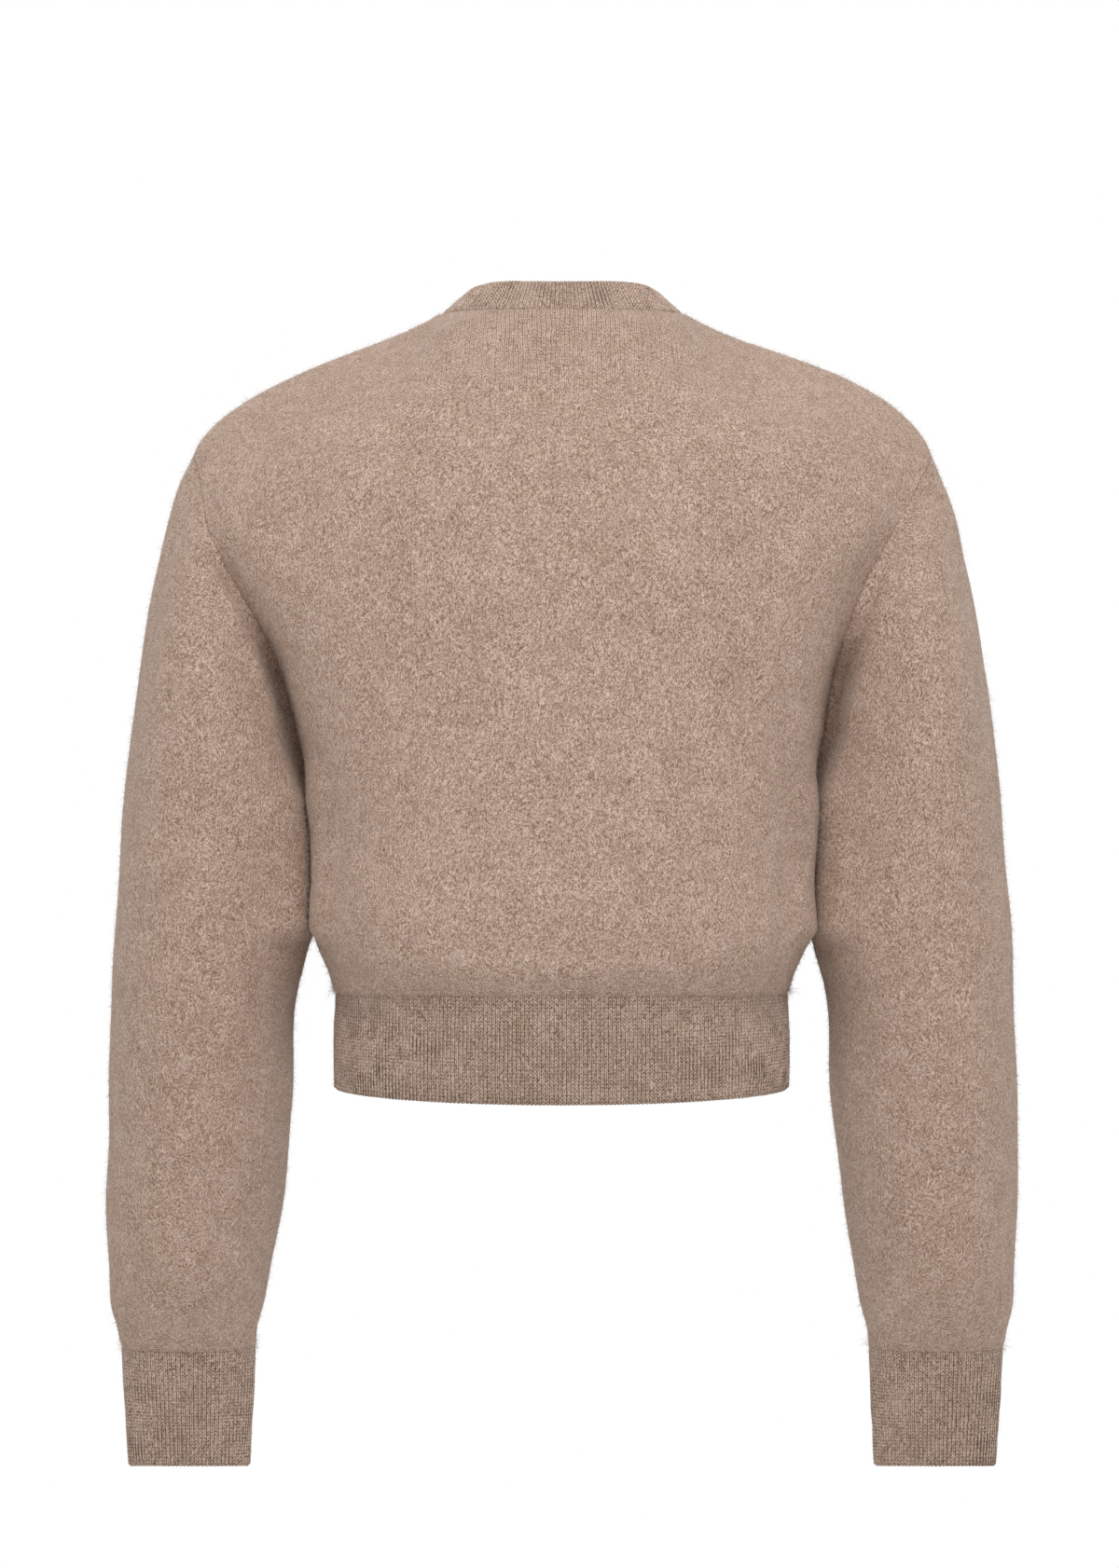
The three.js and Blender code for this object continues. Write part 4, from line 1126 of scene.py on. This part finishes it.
def neck_line(ring, fine):
    """The ring from the left front edge round the back to the right front edge."""
    runs = (
        ("front", 1, UNDER_SEWN_X, False),
        ("back", 1, 0, True),
        ("back", -1, 0, False),
        ("front", -1, -OVER_SEWN_X, True),
    )
    parts = []
    for k, (side, hand, start_x, inward) in enumerate(runs):
        share = fine[::-1] if inward else fine
        angle = mix(neck_angle(ring, start_x), math.pi / 2, share)
        line = neck_points(ring, side, angle) * (hand, 1, 1)
        parts.append(line if k == 0 else line[1:])
    return np.concatenate(parts)


def make_neckband():
    fine = np.linspace(0, 1, 801)
    low, high = neck_line(NECK_SEAM, fine), neck_line(NECK_TOP, fine)
    length = run_length(mix(low, high, 0.4))
    ribs = round(length[-1] / NECK_RIB)
    columns = ribs * RIB_COLUMNS
    at = np.linspace(0, length[-1], columns + 1)
    low, high = read_line(low, length, at), read_line(high, length, at)
    round_back = np.clip(high[:, 1] / NECK_TOP.back[0], 0, 1)
    rise = np.where(high[:, 1] > 0, NECK_TOP_RISE * np.sin(math.pi * round_back**1.6), 0)
    high[:, 2] += rise - NECK_TOP_SINK
    t = lines_between(NECK_HEIGHT, 2.0, (True, False)) / NECK_HEIGHT
    grid = np.stack([mix(low, high, k) for k in t])
    count = np.linspace(0, ribs, columns + 1)
    to_seam = run_length(grid, 0)
    relief = rib_relief(count[None, :], NECK_RIB_HEIGHT, grid, to_seam + NECK_HEIGHT)
    relief = relief * smooth(to_seam / 2) + seam_dip(to_seam, 0.5, 1.2)
    weave = stitches(count[None, :], to_seam)
    make_cloth("neckband", grid, relief, RIB, weave, round_ends=(False, True))


# ---- Button bands ----

def front_line(x):
    """The front's outer face near its centre line at one x, from the hem to the neckband's top."""
    a, hand = abs(x), -1 if x < 0 else 1
    start = np.zeros(1)
    below = np.linspace(1, 0, 20)[:-1]
    hem = np.stack([section_points(hem_section("front", t), start, a)[0] for t in below])
    height = np.linspace(0, STOPS["front"][-1], 150)
    body = curve_through(STOPS["front"], panel_lines("front", start, a), height)[:, 0]
    low, high = (neck_points(ring, "front", neck_angle(ring, a)) for ring in (NECK_SEAM, NECK_TOP))
    neck = np.stack([mix(low, high, t) for t in np.linspace(0, 1, 10)[1:]])
    return np.concatenate([hem, body, neck]) * (hand, 1, 1)


def lifted(line, height):
    """A line moved out, square to its run in Y and Z."""
    along = np.gradient(line, axis=0)
    outward = unit(np.stack([0 * along[:, 0], -along[:, 2], along[:, 1]], -1))
    return line + outward * height


def band_grid(xs, lift_at):
    """A band's outer face: one row for each x, from the wearer's left, each running up."""
    lines = []
    for x in xs:
        line = lifted(front_line(x), lift_at(x))
        length = run_length(line)
        lines.append(read_line(line, length, np.linspace(0, length[-1], BAND_COLUMNS)))
    return np.stack(lines)[::-1]


def over_lift(x):
    """How far the over band stands off the front, to clear the under band."""
    return OVER_LIFT * smooth((x - OVER_SEWN_X) / LIFT_WIDTH)


def make_band(node, low_x, high_x, lift_at):
    ribs = round((high_x - low_x) / BAND_RIB)
    rows = ribs * RIB_COLUMNS + 1
    # Each row runs along the band, so that both of its long edges are round.
    grid = band_grid(np.linspace(low_x, high_x, rows), lift_at)
    count = np.linspace(ribs, 0, rows)
    relief = rib_relief(count[:, None], BAND_RIB_HEIGHT, grid, 40 + 0 * grid[..., 0])
    weave = stitches(count[:, None], run_length(grid, 1))
    make_cloth(node, grid, relief, RIB, weave, round_ends=(True, True))


# ---- Buttons ----

def horn_material():
    shader = Shader("horn")
    place = shader.add("TexCoord").outputs["Object"]
    cloud = shader.noise(place, 160, 3.0, 0.6)
    colour = shader.ramp(cloud, (0.3, (0.10, 0.06, 0.036)), (0.72, (0.30, 0.205, 0.14)))
    scratch = shader.noise(place, 2600, 2.0, 0.7)
    bump = shader.add("Bump", {"Strength": 0.12, "Distance": 0.1 * MM, "Height": scratch}).outputs[0]
    values = {"Base Color": colour, "Roughness": 0.42, "Coat Weight": 0.12, "Normal": bump}
    return shader.finish(shader.add("BsdfPrincipled", values).outputs[0])


def thread_material():
    """Sewing thread, twisted from two plies."""
    shader = Shader("sewing_thread")
    place = shader.add("TexCoord").outputs["Object"]
    ply = shader.noise(place, 1800, 1.0, 0.5)
    colour = shader.ramp(ply, (0.3, (0.17, 0.115, 0.085)), (0.7, (0.36, 0.265, 0.205)))
    bump = shader.add("Bump", {"Strength": 0.5, "Distance": 0.1 * MM, "Height": ply}).outputs[0]
    values = {"Base Color": colour, "Roughness": 0.7, "Normal": bump}
    return shader.finish(shader.add("BsdfPrincipled", values).outputs[0])


HORN = horn_material()
THREAD = thread_material()


def tube(line, radius, closed):
    """A round tube's points and quads along a line. radius is one number for each point."""
    along = np.roll(line, -1, axis=0) - np.roll(line, 1, axis=0) if closed else np.gradient(line, axis=0)
    side = unit(np.cross(along, (0.02, 0.97, 0.05)))
    up = unit(np.cross(side, along))
    turn = np.arange(THREAD_SIDES) * 2 * math.pi / THREAD_SIDES
    ring = np.cos(turn)[None, :, None] * side[:, None] + np.sin(turn)[None, :, None] * up[:, None]
    points = (line[:, None] + ring * np.asarray(radius)[:, None, None]).reshape(-1, 3)
    ids = np.arange(len(points)).reshape(len(line), THREAD_SIDES)
    ids = np.concatenate([ids, ids[:, :1]], 1)
    if closed:
        ids = np.concatenate([ids, ids[:1]])
    return points, grid_quads(ids, True)


def make_buttons():
    """Horn on the buttons, their sewing threads, and the sewn rims of the buttonholes behind them."""
    threads, rims = [], []
    for k in range(1, BUTTON_COUNT + 1):
        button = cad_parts[f"button_{k}"]
        button.data.materials.clear()
        button.data.materials.append(HORN)
        points = np.array([v.co for v in button.data.vertices]) / MM
        centre = (points.min(0) + points.max(0)) / 2
        outward = np.linalg.svd(points - points.mean(0))[2][2]
        outward = outward * -np.sign(outward[1])
        across = unit(np.array((1.0, 0, 0)) - outward * outward[0])
        upward = np.cross(outward, across)
        depths = (points - centre) @ outward
        for row in (-HOLE_SPREAD, HOLE_SPREAD):
            t = np.linspace(-1, 1, THREAD_POINTS)[:, None]
            over = depths.max() + 0.25 - 2.0 * np.abs(t) ** 6
            line = centre + across * t * (HOLE_SPREAD + 0.1) + upward * row + outward * over
            threads.append(tube(line, np.full(THREAD_POINTS, THREAD_RADIUS), False))
        turn = np.arange(RIM_POINTS) * 2 * math.pi / RIM_POINTS
        aside = BUTTONHOLE_WIDTH * np.sign(np.cos(turn)) * np.abs(np.cos(turn)) ** 0.4
        line = upward * (BUTTONHOLE_REACH * np.sin(turn))[:, None] + outward * (depths.min() + 0.35)
        line = centre + line + across * aside[:, None]
        rims.append(tube(line, RIM_RADIUS + 0.14 * np.sin(RIM_STITCHES * turn), True))
    for name, parts in (("button_threads", threads), ("buttonhole_rims", rims)):
        starts = np.cumsum([0] + [len(points) for points, _ in parts])
        faces = [quads + start for (_, quads), start in zip(parts, starts)]
        made = make_object(name, np.concatenate([points for points, _ in parts]), faces, THREAD)


# ---- The set ----

def make_light(name, place, size, energy):
    """A round lamp that faces the garment."""
    lamp = bpy.data.lights.new(name, "AREA")
    lamp.shape = "DISK"
    lamp.size = size
    lamp.energy = energy
    made = put(name, lamp)
    made.location = place
    centre = (cad_low + cad_high) / 2
    made.rotation_euler = (made.location - centre).to_track_quat("Z", "Y").to_euler()


def make_floor():
    """A plain pale disc well below the garment."""
    corners = np.arange(FLOOR_CORNERS) * 2 * math.pi / FLOOR_CORNERS
    mesh = bpy.data.meshes.new("floor")
    points = [(FLOOR_RADIUS * math.cos(a), FLOOR_RADIUS * math.sin(a), FLOOR_Z) for a in corners]
    mesh.from_pydata(points, [], [range(len(points))])
    shader = Shader("floor_paint")
    paint = shader.add("BsdfDiffuse", {"Color": (0.9, 0.9, 0.9, 1)}).outputs[0]
    mesh.materials.append(shader.finish(paint))
    put("floor", mesh)


def make_set():
    """Soft light from all round, two lamps, and a level camera behind the garment."""
    world = bpy.data.worlds.new("studio")
    bpy.context.scene.world = world
    world.use_nodes = True
    nodes, links = world.node_tree.nodes, world.node_tree.links
    nodes["Background"].inputs["Color"].default_value = (1, 1, 1, 1)
    seen = nodes.new("ShaderNodeLightPath").outputs["Is Camera Ray"]
    strength = nodes.new("ShaderNodeMapRange")
    strength.inputs["To Min"].default_value = AMBIENT
    strength.inputs["To Max"].default_value = 1.0
    links.new(seen, strength.inputs["Value"])
    links.new(strength.outputs[0], nodes["Background"].inputs["Strength"])
    make_light("key", (-0.2, 2.6, 2.7), 2.0, 80)
    make_light("fill", (0.5, -2.9, 1.8), 2.0, 50)

    bpy.context.scene.view_settings.view_transform = "Standard"
    camera = bpy.data.cameras.new("camera")
    camera.sensor_width = 36
    camera.lens = 36 * CAMERA_DISTANCE / VIEW_HEIGHT
    made = put("camera", camera)
    made.location = (CAMERA_X, CAMERA_DISTANCE, CAMERA_Z)
    made.rotation_euler = (math.radians(90), 0, math.radians(180))
    bpy.context.scene.camera = made


make_back()
for hand in ("left", "right"):
    make_front(hand)
    make_sleeve(hand)
    make_cuff(hand)
make_hems()
make_neckband()
make_band("band_over", OVER_SEWN_X, OVER_FREE_X, over_lift)
make_band("band_under", UNDER_FREE_X, UNDER_SEWN_X, lambda x: 0.0)
make_buttons()
make_floor()
make_set()
